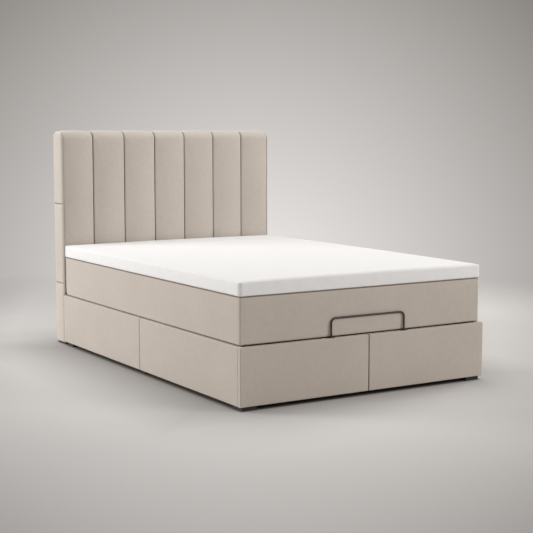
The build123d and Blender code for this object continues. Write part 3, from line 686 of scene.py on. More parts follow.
def swell(piece, held, pressure, cap, twin=None, flip=(1, 1, 1)):
    """Blows a closed piece up with Blender's cloth. Held points stay, none moves past cap.

    held is true or false for each point. Pieces of the same size share one simulation
    under a twin's name. flip turns its moves round for the piece on the other side.
    """
    mesh = piece.data
    before = coordinates(mesh)
    if twin not in swells:
        started = time.time()
        group = piece.vertex_groups.new(name="sewn")
        group.add(np.flatnonzero(held).tolist(), 1, "REPLACE")
        cloth = piece.modifiers.new("swell", "CLOTH")
        cloth.settings.quality = 4
        cloth.settings.mass = 0.3
        cloth.settings.bending_stiffness = 0.5
        cloth.settings.vertex_group_mass = "sewn"
        cloth.settings.use_pressure = True
        cloth.settings.uniform_pressure_force = pressure
        cloth.settings.effector_weights.gravity = 0
        cloth.collision_settings.use_collision = False
        cloth.point_cache.frame_start, cloth.point_cache.frame_end = 1, CLOTH_STEPS
        for step in range(1, CLOTH_STEPS + 1):
            scene.frame_set(step)
        view = bpy.context.evaluated_depsgraph_get()
        move = coordinates(piece.evaluated_get(view).data) - before
        piece.modifiers.remove(cloth)
        piece.vertex_groups.remove(group)
        scene.frame_set(1)
        length = np.linalg.norm(move, axis=1)
        usual_share = 96
        usual = np.percentile(length[length > 1e-6], usual_share)
        share = cap / max(cap, usual)
        length = np.maximum(length * share, 1e-9)
        move *= share * np.minimum(1, cap / length)[:, None]
        key = twin or piece.name
        swells[key] = (move * flip, time.time() - started)
        print(f"{piece.name}: cloth on {len(before)} points, {swells[key][1]:.1f} s,",
              f"moved {usual * 1000:.1f} mm, kept {cap * 1000:.1f} mm")
    move_points(mesh, before + swells[twin or piece.name][0] * flip)


print("cloth runs for", CLOTH_STEPS, "steps a piece, or not at all in a quick run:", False)


# %% Last steps of a soft piece
def finish_soft(piece, body, node):
    """Gives a piece its map, its mark and what the frame must know about it."""
    map_cloth(piece.data)
    mark_edges(piece.data)
    smooth = piece.modifiers.new("smooth", "SUBSURF")
    smooth.levels = smooth.render_levels = 1
    smooth.uv_smooth = "PRESERVE_BOUNDARIES"
    smooth.boundary_smooth = "PRESERVE_CORNERS"
    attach(piece, body)
    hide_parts(node)


def paint_shade(piece, chosen, value):
    """Marks chosen points as a crease, which paints shade on them, as in a seam."""
    mark = piece.data.attributes["edge"]
    values = np.empty(len(chosen), dtype=np.float32)
    mark.data.foreach_get("value", values)
    values[chosen] = value
    mark.data.foreach_set("value", values)


def ripples(points, size, height, turn=0.0):
    """Soft unevenness of stuffed cloth: a sum of waves of about one size, in metres."""
    total, waves = np.zeros(points.shape[:-1]), 7
    for n in range(waves):
        angle = 2.4 * n + turn
        way = np.array([math.cos(angle), math.sin(angle * 1.3), math.cos(angle * 0.7 + 1)])
        pitch = size * (0.7 + 0.11 * n)
        total += np.sin(points @ way * (2 * math.pi / pitch) + 1.7 * n + turn)
    return total * (height / waves)


uneven_sample = ripples(np.random.default_rng(1).random((99, 3)), 0.16, 1 * mm)
print("ripples of 1 mm move points by up to", round(abs(uneven_sample).max() / mm, 2), "mm")

# %% [markdown]
# ## Headboard channels
# Seven upright channels, each a long pad sewn between two seams, run up the front, roll
# over the top and end at the back panel. Sewn channels are fullest in the middle and fall
# steeply into the seam, like two rolls that touch. The section is therefore a shallow
# arc with a quarter round at each side, and it is swept along a path: up, round the
# corner, and back. The cloth simulation then fills each pad between its fixed seams, and
# shade is painted into the seams through their crease mark. The seams next to the plain
# borders are shallower and get less painted shade than those between channels.

# %% Path and section of a channel
(_, front_y, channel_low), (_, channel_back, channel_top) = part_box("headboard_channel_4")
roll, pad_back = 50 * mm, 46 * mm
crease_width, crease_fall, crown = 11 * mm, 14 * mm, 5.5 * mm
border_fall, outermost_x = 6 * mm, 0.6


def channel_path():
    """Stations along the channel: a point in the side view and the way out of the pad."""
    stations = []
    for z in cuts(channel_low, channel_top - roll, zone=0.02, near=0.01, far=0.022):
        stations.append((front_y, z, -1, 0))
    for angle in np.linspace(0, math.pi / 2, 12)[1:-1]:
        away, up = -math.cos(angle), math.sin(angle)
        y, z = front_y + roll + away * roll, channel_top - roll + up * roll
        stations.append((y, z, away, up))
    for y in cuts(front_y + roll, channel_back, zone=0.01, near=0.005, far=0.014):
        stations.append((y, channel_top, 0, 1))
    return np.array(stations)


def channel_depth(across, width, falls):
    """How far the cloth lies below the channel's fullest line. falls: left and right."""
    from_seam = np.minimum(across, width - across)
    near = np.clip(1 - from_seam / crease_width, 0, 1)
    bow = crown * (2 * across / width - 1) ** 2
    fall = np.where(across < width / 2, *falls)
    return bow + fall * (1 - np.sqrt(1 - near**2 * 0.999))


stations = channel_path()
print("stations", len(stations), "front at", round(front_y, 4))

# %% Sew the channels
# Painted shade in the seams: how far the edge mark is lowered next to the borders and between
# channels.
seam_reach, light_seam_shade, deep_seam_shade = 2.5 * mm, -0.1, -0.38


def channel(number):
    node = f"headboard_channel_{number}"
    (x_low, _, _), (x_high, _, _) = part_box(node)
    places = cuts(x_low, x_high, zone=0.016, near=0.002, far=0.012)
    falls = [border_fall if abs(x) > outermost_x else crease_fall for x in (x_low, x_high)]
    depth = channel_depth(places - x_low, x_high - x_low, falls)
    rows, columns = len(stations), len(places)
    points = []
    for sunk_places in (depth, np.full(columns, pad_back)):
        for y, z, away, up in stations:
            for x, sunk in zip(places, sunk_places):
                points.append((x, y - away * sunk, z - up * sunk))
    points = np.array(points)
    half = rows * columns
    front = points[:half]
    full = np.clip(1 - np.tile(depth, rows) / (10 * mm), 0, 1)
    uneven = ripples(front, 0.16, 0.9 * mm, number) + ripples(front, 0.05, 0.25 * mm, number)
    out = np.repeat(stations[:, 2:], columns, axis=0)
    front[:, 1:] += out * (uneven * full)[:, None]
    piece = mesh_piece(f"channel_pad_{number}", points, quilt(rows, columns), greige_painted_lighter_headboard)
    spots = coordinates(piece.data)
    sewn = {seam: abs(spots[:, 0] - seam) < seam_reach for seam in (x_low, x_high)}
    behind = np.arange(len(spots)) >= half
    held = sewn[x_low] | sewn[x_high] | behind
    twin = None if number in (1, 7) else "channel"
    swell(piece, held, pressure=3, cap=3.5 * mm, twin=twin)
    finish_soft(piece, "base", node)
    # Painted shade: the seams are darkened through the edge mark.
    for seam, near in sewn.items():
        paint_shade(piece, near & ~behind, light_seam_shade if abs(seam) > outermost_x else deep_seam_shade)
    return piece


channels = [channel(number) for number in range(1, 8)]
print("channels", [len(piece.data.vertices) for piece in channels])

# %% [markdown]
# ## Headboard borders
# A plain band closes each side of the headboard. It is sewn from three lengths, with a
# flat seam between them, and follows the roll of the channels at its top. Each length is
# a thin pillow: its edges are turned in to the seams and its middle stands proud. The
# bands hang a little lower than the board, down to just above the floor.

# %% Outline of a border
border_low, border_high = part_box("headboard_border_left")
hang = 11 * mm
border_seams = [border_low[2] - hang, 355 * mm, 815 * mm, border_high[2]]
front_round, rear_round = 46 * mm, 42 * mm
seam_gap, board_gap = 0.3 * mm, 1 * mm
band_thickness, seam_turn, front_turn = 11 * mm, 9 * mm, 26 * mm
bulge, bulge_reach = 2.5 * mm, 22 * mm
SIDES = (("left", -1), ("right", 1))


def border_top(y):
    """The border's highest place at one distance from its front."""
    ahead = np.clip(border_low[1] + front_round - y, 0, front_round)
    behind = np.clip(y - (border_high[1] - rear_round), 0, rear_round)
    drop = front_round - np.sqrt(front_round**2 - ahead**2)
    return border_high[2] - drop - (rear_round - np.sqrt(rear_round**2 - behind**2))


def turned_in(distance, radius):
    """Share of the full thickness that is left this far from a sewn edge."""
    near = np.clip(1 - distance / radius, 0, 1)
    return np.sqrt(1 - near**2 * 0.9999)


print("border seams at", [round(float(seam), 3) for seam in border_seams])


# %% Sew the borders
def border_length(start, end, inner_x, side):
    """Front points of one length of a border, in rows from its lower seam up."""
    low_y, high_y = border_low[1], border_high[1]
    y_places = cuts(low_y, high_y, zone=0.012, near=0.002, far=0.011)
    last = end == border_seams[-1]
    tops = border_top(y_places) if last else np.full(len(y_places), end - seam_gap)
    shares = cuts(0, 1, zone=0.03, near=0.01, far=0.06)
    grid_y, grid_share = np.meshgrid(y_places, shares)
    grid_z = start + grid_share * (tops[None, :] - start)
    upright = np.minimum(grid_z - start, np.maximum(tops[None, :] - grid_z, 0))
    seam_steepness = 1.0 if last else 1.6
    edge = np.minimum(grid_y - low_y, high_y - grid_y)
    edge = np.minimum(edge, upright * seam_steepness)
    thick = band_thickness * turned_in(edge, seam_turn) * turned_in(grid_y - low_y, front_turn)
    stuffed = bulge * (1 - np.exp(-edge / bulge_reach))
    outer = inner_x + side * (board_gap + thick + stuffed)
    spots = np.stack([outer, grid_y, grid_z], axis=-1)
    spots[..., 0] += side * ripples(spots, 0.12, 0.5 * mm, start)
    return spots


def border(side_name, side):
    node = f"headboard_border_{side_name}"
    low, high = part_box(node)
    inner_x = low[0] if side > 0 else high[0]
    points, faces = [], []
    for start, end in zip(border_seams[:-1], border_seams[1:]):
        spots = border_length(start, end, inner_x, side)
        faces += quilt(*spots.shape[:2], len(points))
        front = spots.reshape(-1, 3)
        points.extend(front)
        points.extend(front * (0, 1, 1) + (inner_x, 0, 0))
    piece = mesh_piece(f"border_{side_name}", points, faces, greige_painted_lighter_headboard)
    spots = coordinates(piece.data)
    held = abs(spots[:, 0] - inner_x) < 8 * mm
    swell(piece, held, pressure=2, cap=1.5 * mm, twin="border", flip=(-side, 1, 1))
    finish_soft(piece, "base", node)
    # Painted shade: the seams between the three lengths are darkened through the edge mark.
    for seam in border_seams[1:-1]:
        paint_shade(piece, abs(spots[:, 2] - seam) < 1.5 * mm, -0.4)
    return piece


borders = [border(side_name, side) for side_name, side in SIDES]
print("borders", [len(piece.data.vertices) for piece in borders])

# %% [markdown]
# ## Lower pad and back panel
# Behind the base the headboard needs no channels, so a plain thin pad covers the board.
# The back is closed by a thin padded panel in lining cloth, stapled all round. Both are
# flat slabs with soft edges, so one helper makes them in any direction.

# %% A slab that lies in any direction
def slab(name, low, high, thick_axis, cells, corner, edges, material, extra=((), ())):
    """A closed slab with round corners. cells is (end zone, near, far) in metres."""
    plan = [axis for axis in range(3) if axis != thick_axis]
    order = plan + [thick_axis]
    low, high = np.array(low)[order], np.array(high)[order]
    thickness = high[2] - low[2]
    turn_cuts = np.array([0, 0.15, 0.35, 0.65, 1])
    flat_cuts = np.linspace(edges[0], thickness - edges[1], max(2, int(thickness / 0.02)))
    near_low, near_high = low[2] + edges[0] * turn_cuts, high[2] - edges[1] * turn_cuts
    points, faces = box_skin(
        cuts(low[0], high[0], *cells, extra[0]),
        cuts(low[1], high[1], *cells, extra[1]),
        np.unique(np.concatenate([near_low, near_high, low[2] + flat_cuts]).round(6)),
    )
    placed = np.empty_like(points)
    placed[:, order] = rounded(points, low, high, corner, edges)
    return mesh_piece(name, placed, faces, material)


low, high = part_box("headboard_lower_front")
lower_pad = slab(
    "lower_pad", low, high, thick_axis=1, cells=(0.03, 0.005, 0.04),
    corner=12 * mm, edges=(10 * mm, 3 * mm), material=greige_painted_lighter_headboard,
)
spots = coordinates(lower_pad.data)
behind = spots[:, 1] > low[1] + 12 * mm
swell(lower_pad, behind, pressure=2, cap=1.5 * mm)
finish_soft(lower_pad, "base", "headboard_lower_front")

low, high = np.array(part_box("headboard_back_panel"))
side_inset = 8 * mm  # its sides go in behind the borders
low[0] += side_inset
high[0] -= side_inset
back_panel = slab(
    "back_panel", low, high, thick_axis=1, cells=(0.03, 0.006, 0.045),
    corner=(4 * mm, 22 * mm), edges=(0.5 * mm, 2 * mm), material=back_lining,
)
spots = coordinates(back_panel.data)
stapled = from_edge(spots, low, high, (0, 2)) < 14 * mm
rear = spots[:, 1] > high[1] - 1.5 * mm
swell(back_panel, stapled | ~rear, pressure=1, cap=2.5 * mm)
finish_soft(back_panel, "base", "headboard_back_panel")
print("lower pad and back panel", len(lower_pad.data.vertices), len(back_panel.data.vertices))

# %% [markdown]
# ## Wrapped panels of the base
# Each panel is a board in a padded cover, pulled round its edges and stapled inside. The
# cover is a shell: a soft outer face with small round edges, narrow returns on all four
# sides, and a cavity that holds the board. Its top edge goes on over the board and down
# the inside as a lap, which shows when the lid is up. Shade is painted darkest into the
# seam between two panels, and across the foot a paler painted shade runs next to it.

# %% The shell and the lap of a cover, laid flat
tiny = 1e-7
cover_depth, cover_cloth, lap_height = 20 * mm, 4 * mm, 30 * mm


def cover_shell(length, height):
    """Points and faces of a cover that lies face down, with a pocket in its back.

    hem is the thickness of its returns, and over that of the one on top.
    """
    hem, over = 2 * mm, 4 * mm
    skin, faces = box_skin(
        cuts(0, length, zone=0.012, near=0.002, far=0.035, extra=(hem, length - hem)),
        cuts(0, height, zone=0.012, near=0.002, far=0.026, extra=(hem, height - over)),
        np.array([0, 0.6, 1.4, 2.6, 4, 8, 14, 20]) * mm,
    )
    to_hem = from_edge(skin, (hem, hem), (length - hem, height - over), (0, 1))
    inside = (abs(skin[:, 2] - cover_depth) < tiny) & (to_hem > -tiny)
    rim = inside & (to_hem < tiny)
    floor_of = {n: len(skin) + m for m, n in enumerate(np.where(inside)[0])}
    kept, floor, walls = [], [], []
    for face in faces:
        if not all(inside[n] for n in face):
            kept.append(face)
            continue
        floor.append([floor_of[n] for n in face])
        for a, b in zip(face, face[1:] + face[:1]):
            if rim[a] and rim[b]:
                walls.append([a, b, floor_of[b], floor_of[a]])
    size = np.array([length, height, cover_depth])
    soft = rounded(skin, np.zeros(3), size, corner=3 * mm, edges=(6 * mm, 0.6 * mm))
    soft[inside] = skin[inside]
    sunk = skin[inside] * (1, 1, 0) + (0, 0, cover_cloth)
    return np.concatenate([soft, sunk]), kept + floor + walls


def cover_lap(start, end, height):
    """Points and faces of the strip that goes on over the board and down its inside."""
    skin, faces = box_skin(
        cuts(start, end, zone=0.006, near=0.002, far=0.03),
        cuts(0, lap_height, zone=0.004, near=0.002, far=0.008),
        np.array([0, 1, 2]) * mm,
    )
    low, high = np.array([start, 0, 0]), np.array([end, lap_height, 2 * mm])
    soft = rounded(skin, low, high, corner=2 * mm, edges=(0.4 * mm, 0.9 * mm))
    return soft + (0, height - lap_height, cover_depth), faces


shell, shell_faces = cover_shell(1, 0.27)
print("a cover of 1 m has", len(shell), "points and", len(shell_faces), "faces")


# %% A cover round a board
def wrapped_cover(name, node, depth_axis, outward, lap, seams):
    """The cover of one panel. lap holds the lap's two ends along the panel, and seams says
    where its ends meet another piece of cloth."""
    low, high = np.array(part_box(node))
    along_axis, on_side = 1 - depth_axis, depth_axis == 0
    outer = high[depth_axis] if outward > 0 else low[depth_axis]
    length, height = (high - low)[[along_axis, 2]]
    shell, faces = cover_shell(length, height)
    strip, strip_faces = cover_lap(*lap, height)
    points = np.concatenate([shell, strip])
    faces += [[n + len(shell) for n in face] for face in strip_faces]
    placed = np.empty_like(points)
    placed[:, along_axis] = low[along_axis] + points[:, 0]
    placed[:, 2] = low[2] + points[:, 1]
    placed[:, depth_axis] = outer - outward * points[:, 2]
    piece = mesh_piece(name, placed, faces, greige)
    spots = coordinates(piece.data)
    depth = (outer - spots[:, depth_axis]) * outward
    near_edge = from_edge(spots, low, high, (along_axis, 2)) < 6 * mm
    twin, flip = ("side wrap", (-outward, 1, 1)) if on_side else (None, (1, 1, 1))
    held = (depth > 0.5 * mm) | near_edge
    swell(piece, held, pressure=3, cap=1.6 * mm, twin=twin, flip=flip)
    finish_soft(piece, "base", node)
    # Painted shade: the seams are darkened through the edge mark, with a paler band next to
    # them across the foot.
    for seam in seams:
        away = abs(spots[:, along_axis] - seam)
        in_front = depth < 12 * mm
        if not on_side:
            paint_shade(piece, (away < 3.6 * mm) & in_front, -0.35)
        paint_shade(piece, (away < 1.7 * mm) & in_front, -1)
    return piece


# %% Six covers
covers = []
for side_name, side in SIDES:
    for end_name in ("foot", "head"):
        name, node = [f"side_{kind}_{side_name}_{end_name}" for kind in ("wrap", "cover")]
        (_, y_low, _), (_, y_high, _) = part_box(node)
        seams = [y_high] if end_name == "foot" else [y_low, y_high]
        covers.append(wrapped_cover(name, node, 0, side, (0, y_high - y_low), seams))
for side_name in ("left", "right"):
    name, node = [f"foot_{kind}_{side_name}" for kind in ("wrap", "cover")]
    (x_low, _, _), (x_high, _, _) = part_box(node)
    length, inset = x_high - x_low, 22.6 * mm
    lap = (inset, length) if side_name == "left" else (0, length - inset)
    covers.append(wrapped_cover(name, node, 1, -1, lap, [0]))
print("covers", [len(piece.data.vertices) for piece in covers])

# %% [markdown]
# ## Mattress and topper
# Both are soft slabs. The mattress keeps crisp edges, because a seam runs all round its
# top and bottom, and two seams stand close together at each upright corner, where the
# side bands meet. Its lower edge at the head end is rounder. The topper is plain knit
# pulled over foam, so its edges are fuller and its corners rounder. Sides draw in a little
# towards the corners, as stuffing does.

# %% Draw in the sides and press in the seams
def draw_in(spots, low, high, amount, crown_height=0.0):
    """Bows the sides by amount, and lets the top fall by crown_height to its corners."""
    middle, half = (low + high) / 2, (high - low) / 2
    share = (spots - middle) / half
    full = spots.copy()
    for axis, other in ((0, 1), (1, 0)):
        bow = np.sign(share[:, axis]) * amount * share[:, other] ** 2
        full[:, axis] -= bow * abs(share[:, axis]) ** 8
    dome = crown_height * (share[:, 0] ** 2 * 0.5 + share[:, 1] ** 2 * 0.5)
    full[:, 2] -= np.where(share[:, 2] > 0, dome * np.clip(share[:, 2], 0, 1) ** 4, 0)
    return full


def press(spots, way, distance, width, depth):
    """Presses a narrow groove along the line where distance is nought."""
    fall = depth * np.exp(-((distance / width) ** 2))
    return spots - way * fall[:, None]


sample = press(np.zeros((3, 3)), np.ones((3, 3)), np.array([0, 1, 2]) * mm, 1.6 * mm, 0.8 * mm)
print("groove at 0, 1 and 2 mm:", (-sample[:, 0] / mm).round(2), "mm deep")

# %% Mattress
low, high = np.array(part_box("mattress_cover"))
middle = (low + high) / 2
seam_in, head_round = 24 * mm, 32 * mm
groove_width, groove_depth = 1.6 * mm, 0.8 * mm
groove_cuts = np.array([-2.5, -1.2, 0, 1.2, 2.5]) * mm
from_low, from_high = seam_in + groove_cuts, -seam_in - groove_cuts
groove_lines = [[*(low[n] + from_low), *(high[n] + from_high)] for n in (0, 1)]
mattress = slab(
    "mattress_case", low, high, thick_axis=2, cells=(0.03, 0.005, 0.06),
    corner=15 * mm, edges=(9 * mm, 9 * mm), material=greige_painted_lighter_mattress, extra=groove_lines,
)
spots = draw_in(coordinates(mattress.data), low, high, 3 * mm)
for axis, other in ((0, 1), (1, 0)):
    outer = from_edge(spots, low, high, (axis,)) < 6 * mm
    way = np.zeros((len(spots), 3))
    way[:, axis] = np.sign(spots[:, axis] - middle[axis]) * outer
    for line in (low[other] + seam_in, high[other] - seam_in):
        spots = press(spots, way, spots[:, other] - line, groove_width, groove_depth)

# The lower edge at the head end is pushed onto a larger round.
back = spots[:, 1] - (high[1] - head_round)
down = low[2] + head_round - spots[:, 2]
turn = (back > 0) & (down > 0)
inward = np.where(turn, np.maximum(back, down) / np.maximum(np.hypot(back, down), 1e-9), 1)
spots[:, 1] = np.where(turn, high[1] - head_round + back * inward, spots[:, 1])
spots[:, 2] = np.where(turn, low[2] + head_round - down * inward, spots[:, 2])
move_points(mattress.data, spots)

# How far each point lies in from the sides, the ends, and the top and bottom.
in_x, in_y, in_z = [from_edge(spots, low, high, (axis,)) for axis in range(3)]
sewn_rim = (in_z < 10 * mm) & ((in_x < 31 * mm) | (in_y < 36 * mm))
corner_seam = (abs(in_x - seam_in) < 4 * mm) & (in_y < 18 * mm)
corner_seam |= (abs(in_y - seam_in) < 4 * mm) & (in_x < 13 * mm)
top_and_bottom = in_z < 1 * mm
swell(mattress, sewn_rim | corner_seam | top_and_bottom, pressure=4, cap=3 * mm)
finish_soft(mattress, "mattress", "mattress_cover")
# Painted shadow: a narrow band along the top of the side walls, under the topper, is darkened
# through the edge mark, darkest at the very top.
painted_shade_rim = np.minimum(in_x, in_y) < 13 * mm
for reach, value in ((6.5 * mm, -0.25), (3.6 * mm, -0.55), (2.5 * mm, -1)):
    paint_shade(mattress, (spots[:, 2] > high[2] - reach) & painted_shade_rim, value)
print("mattress", len(mattress.data.vertices))

# %% Topper
low, high = np.array(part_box("topper_cover"))
topper = slab(
    "topper_case", low, high, thick_axis=2, cells=(0.036, 0.006, 0.06),
    corner=22 * mm, edges=(9 * mm, 15 * mm), material=white_knit,
)
spots = draw_in(coordinates(topper.data), low, high, 2 * mm, crown_height=7 * mm)
full = np.clip((spots[:, 2] - low[2]) / (high[2] - low[2]), 0, 1)
spots[:, 2] += ripples(spots, 0.42, 1.0 * mm) * full
move_points(topper.data, spots)
under = spots[:, 2] < low[2] + 4 * mm
flat_top = (spots[:, 2] > high[2] - 12 * mm) & (from_edge(spots, low, high, (0, 1)) > 40 * mm)
swell(topper, under | flat_top, pressure=4, cap=3 * mm)
finish_soft(topper, "topper", "topper_cover")
print("topper", len(topper.data.vertices))
print("all simulation", round(sum(seconds for _, seconds in swells.values())), "s")

# %% [markdown]
# ## Staples
# Small things that repeat along a line are a job for Geometry Nodes: one tree bends a
# short wire with steep sides into a staple, and lays a copy at even steps along any line,
# turned to follow it and to stand on the surface. The line carries a vector on each point
# that says which way is out of the surface. The staples show in the laps inside the base
# and round the back panel.

# %% A tree written like a finish
class Recipe(Finish):
    """A Geometry Nodes tree with named inputs."""

    def __init__(self, name, inputs):
        self.tree = bpy.data.node_groups.new(name, "GeometryNodeTree")
        face = self.tree.interface
        face.new_socket("Geometry", in_out="INPUT", socket_type="NodeSocketGeometry")
        for label, kind in inputs:
            face.new_socket(label, in_out="INPUT", socket_type="NodeSocket" + kind)
        face.new_socket("Geometry", in_out="OUTPUT", socket_type="NodeSocketGeometry")
        self.start = self.tree.nodes.new("NodeGroupInput")
        self.end = self.tree.nodes.new("NodeGroupOutput")

    def given(self, label):
        return Wire(self, self.start.outputs[label])

    def finish_with(self, geometry, material):
        solid = self.node("GeometryNodeRealizeInstances", {}, [geometry])
        dressed = self.node("GeometryNodeSetMaterial", {}, {0: solid, "Material": material})
        self.tree.links.new(dressed.socket, self.end.inputs[0])
        return self.tree


print("a geometry tree is written like a finish, in a", Recipe.__name__)


# %% Wires along a line
def wires_along():
    numbers = ("Spacing", "Reach", "Rise", "Thickness", "Slope")
    inputs = [(label, "Float") for label in numbers] + [("Material", "Material")]
    recipe = Recipe("bent wires along a line", inputs)
    spacing, reach, rise, thickness, slope = [recipe.given(label) for label in numbers]
    # The curve reaches three quarters of its handles' height, so they stand a third higher.
    half, top, low = reach * 0.5, rise * 1.33, thickness * -0.2
    handle = half - slope
    bend_inputs = {"Resolution": 7}
    for label, x, z in (
        ("Start", -1 * half, low),
        ("Start Handle", -1 * handle, top),
        ("End Handle", handle, top),
        ("End", half, low),
    ):
        bend_inputs[label] = recipe.node("ShaderNodeCombineXYZ", {}, {0: x, 2: z})
    bend = recipe.node("GeometryNodeCurvePrimitiveBezierSegment", {}, bend_inputs)
    ring_inputs = {"Resolution": 5, "Radius": thickness * 0.5}
    ring = recipe.node("GeometryNodeCurvePrimitiveCircle", {}, ring_inputs)
    wire = recipe.node("GeometryNodeCurveToMesh", {}, {0: bend, 1: ring, "Fill Caps": True})
    line = recipe.node("GeometryNodeMeshToCurve", {}, [recipe.given("Geometry")])
    step_inputs = {"Curve": line, "Length": spacing}
    steps = recipe.node("GeometryNodeResampleCurve", {"mode": "LENGTH"}, step_inputs)
    ahead = recipe.node("GeometryNodeInputTangent")
    vector = {"data_type": "FLOAT_VECTOR"}
    out = recipe.node("GeometryNodeInputNamedAttribute", vector, {"Name": "outward"})
    turned = recipe.node("FunctionNodeAlignRotationToVector", {"axis": "X"}, {"Vector": ahead})
    about_x = {"axis": "Z", "pivot_axis": "X"}
    stand = {"Rotation": turned, "Vector": out}
    upright = recipe.node("FunctionNodeAlignRotationToVector", about_x, stand)
    copy_inputs = {"Points": steps, "Instance": wire, "Rotation": upright}
    copies = recipe.node("GeometryNodeInstanceOnPoints", {}, copy_inputs)
    return recipe.finish_with(copies, recipe.given("Material"))


wire_tree = wires_along()
print("the tree has", len(wire_tree.nodes), "nodes")


# %% Staples in the laps and round the back
def lay_wires(name, lines, values, body):
    """Runs the tree on lines of (points, outward) and keeps the result as a plain mesh."""
    points, edges, outwards = [], [], []
    for spots, outward in lines:
        edges += [(len(points) + n, len(points) + n + 1) for n in range(len(spots) - 1)]
        points += spots
        outwards += [outward] * len(spots)
    mesh = bpy.data.meshes.new(name)
    mesh.from_pydata(points, edges, [])
    vectors = mesh.attributes.new("outward", "FLOAT_VECTOR", "POINT")
    vectors.data.foreach_set("vector", np.array(outwards, dtype=np.float32).ravel())
    piece = bpy.data.objects.new(name, mesh)
    scene.collection.objects.link(piece)
    grower = piece.modifiers.new("wires", "NODES")
    grower.node_group = wire_tree
    for socket in wire_tree.interface.items_tree:
        if socket.in_out == "INPUT" and socket.name in values:
            grower[socket.identifier] = values[socket.name]
    view = bpy.context.evaluated_depsgraph_get()
    solid = bpy.data.meshes.new_from_object(piece.evaluated_get(view), depsgraph=view)
    piece.modifiers.remove(grower)
    piece.data = solid
    solid.shade_smooth()
    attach(piece, body)
    return piece


proud, below_top, inset, cut_corner = 0.3 * mm, 20 * mm, 10 * mm, 30 * mm
staple_lines = []
for side_name, side in SIDES:
    for end_name in ("foot", "head"):
        low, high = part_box(f"side_cover_{side_name}_{end_name}")
        x = (high[0] if side < 0 else low[0]) - side * proud
        places = np.linspace(low[1] + 25 * mm, high[1] - 25 * mm, 12)
        staple_lines.append(([(x, y, high[2] - below_top) for y in places], (-side, 0, 0)))
for side_name, side in SIDES:
    low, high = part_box(f"foot_cover_{side_name}")
    outer = side * (abs(low[0] if side < 0 else high[0]) - 45 * mm)
    places = np.linspace(outer, side * 25 * mm, 12)
    run = [(x, high[1] + proud, high[2] - below_top) for x in places]
    staple_lines.append((run, (0, 1, 0)))
low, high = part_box("headboard_back_panel")
ring = [
    (low[0] + inset, low[2] + inset),
    (low[0] + inset, high[2] - cut_corner),
    (low[0] + cut_corner, high[2] - inset),
    (high[0] - cut_corner, high[2] - inset),
    (high[0] - inset, high[2] - cut_corner),
    (high[0] - inset, low[2] + inset),
    (low[0] + inset, low[2] + inset),
]  # once round the back panel, with its upper corners cut off
staple_lines.append(([(x, high[1] - 0.2 * mm, z) for x, z in ring], (0, 1, 0)))
staple_size = {"Spacing": 48 * mm, "Reach": 11 * mm, "Rise": 0.8 * mm, "Thickness": 1.0 * mm}
staple_size.update(Slope=0.3 * mm, Material=zinc)
staples = lay_wires("staples", staple_lines, staple_size, "base")
print("staples", len(staples.data.vertices))

# %% [markdown]
# ## Floor and background
# A studio floor is one pale sheet that runs on into the backdrop. Here a large disc takes
# the light and the shadows near the bed and fades out towards its rim, where the world's
# own colour takes over, so no horizon shows. Its tint has painted shade: darkest under the
# bed, and a painted shadow a little darker round it. It also falls off towards the corners
# of the picture. The world has one colour for what the camera and shiny metal see, paler
# where the camera looks, and another, a plain soft light, for everything that it lights.

# %% The floor's disc
floor_mesh = bpy.data.meshes.new("studio_floor")
ring_radii, turns = (2.0, 4.0, 7.0, 11.0, 16.0, 24.0), 96
disc, disc_faces = [(0, 0, 0)], []
for r in ring_radii:
    for n in range(turns):
        angle = 2 * math.pi * n / turns
        disc.append((r * math.cos(angle), r * math.sin(angle), 0))
for n in range(turns):
    disc_faces.append((0, 1 + n, 1 + (n + 1) % turns))
for ring in range(len(ring_radii) - 1):
    a = 1 + ring * turns
    for n in range(turns):
        m = (n + 1) % turns
        disc_faces.append((a + n, a + turns + n, a + turns + m, a + m))
floor_mesh.from_pydata(disc, [], disc_faces)
studio_floor = bpy.data.objects.new("studio_floor", floor_mesh)
scene.collection.objects.link(studio_floor)
print("floor", len(floor_mesh.vertices), "points")

# %% The floor's paper
paper = Finish("pale studio floor")
spot = paper.place()
distance = paper.node("ShaderNodeVectorMath", {"operation": "LENGTH"}, [spot], "Value")
depth = paper.dot(spot, (math.sin(camera_yaw), math.cos(camera_yaw), 0))
aside = paper.dot(spot, (math.cos(camera_yaw), -math.sin(camera_yaw), 0))

# One parabola runs along the floor in the direction of the main view and one across it.
# Together they are palest 3.5 m behind the bed's middle.
shade = aside * aside * 0.5 + depth * depth * 0.048 - depth * 0.333 - 0.827
sheet = paper.mix(shade, tint(205, 202, 199), tint(168, 165, 162))


def outside(near, far):
    """From 0 to 1 between two rectangles round the bed's middle, given by half sizes."""
    ways = []
    for axis in (0, 1):
        off = paper.maths("ABSOLUTE", paper.share_of(spot, axis))
        ways.append(paper.stretch(off, near[axis], far[axis]))
    return paper.maths("MAXIMUM", *ways)


# Painted shadow a little darker round the bed, and a dark painted shade under it, where only
# shadow falls.
painted_shadow_beside = paper.mix(outside((0.68, 0.8), (1.2, 1.25)), tint(172, 169, 166), sheet)
under = outside((0.675, 1.055), (0.7, 1.078))
floor_inputs = {
    "Base Color": paper.mix(under, tint(100, 94, 87), painted_shadow_beside),
    "Roughness": paper.spread(paper.noise(spot, 240, 3), 0.82, 0.9),
    "Specular IOR Level": 0.15,
}
floor_shader = paper.node("ShaderNodeBsdfPrincipled", {}, floor_inputs)
clear = paper.node("ShaderNodeBsdfTransparent")
fade = paper.stretch(distance, 2.2, 4.4)
faded = paper.node("ShaderNodeMixShader", {}, [fade, floor_shader, clear])
paper.tree.links.new(faded.socket, paper.end.inputs[0])
floor_mesh.materials.append(paper.material)
print("floor's paper has", len(paper.tree.nodes), "nodes")


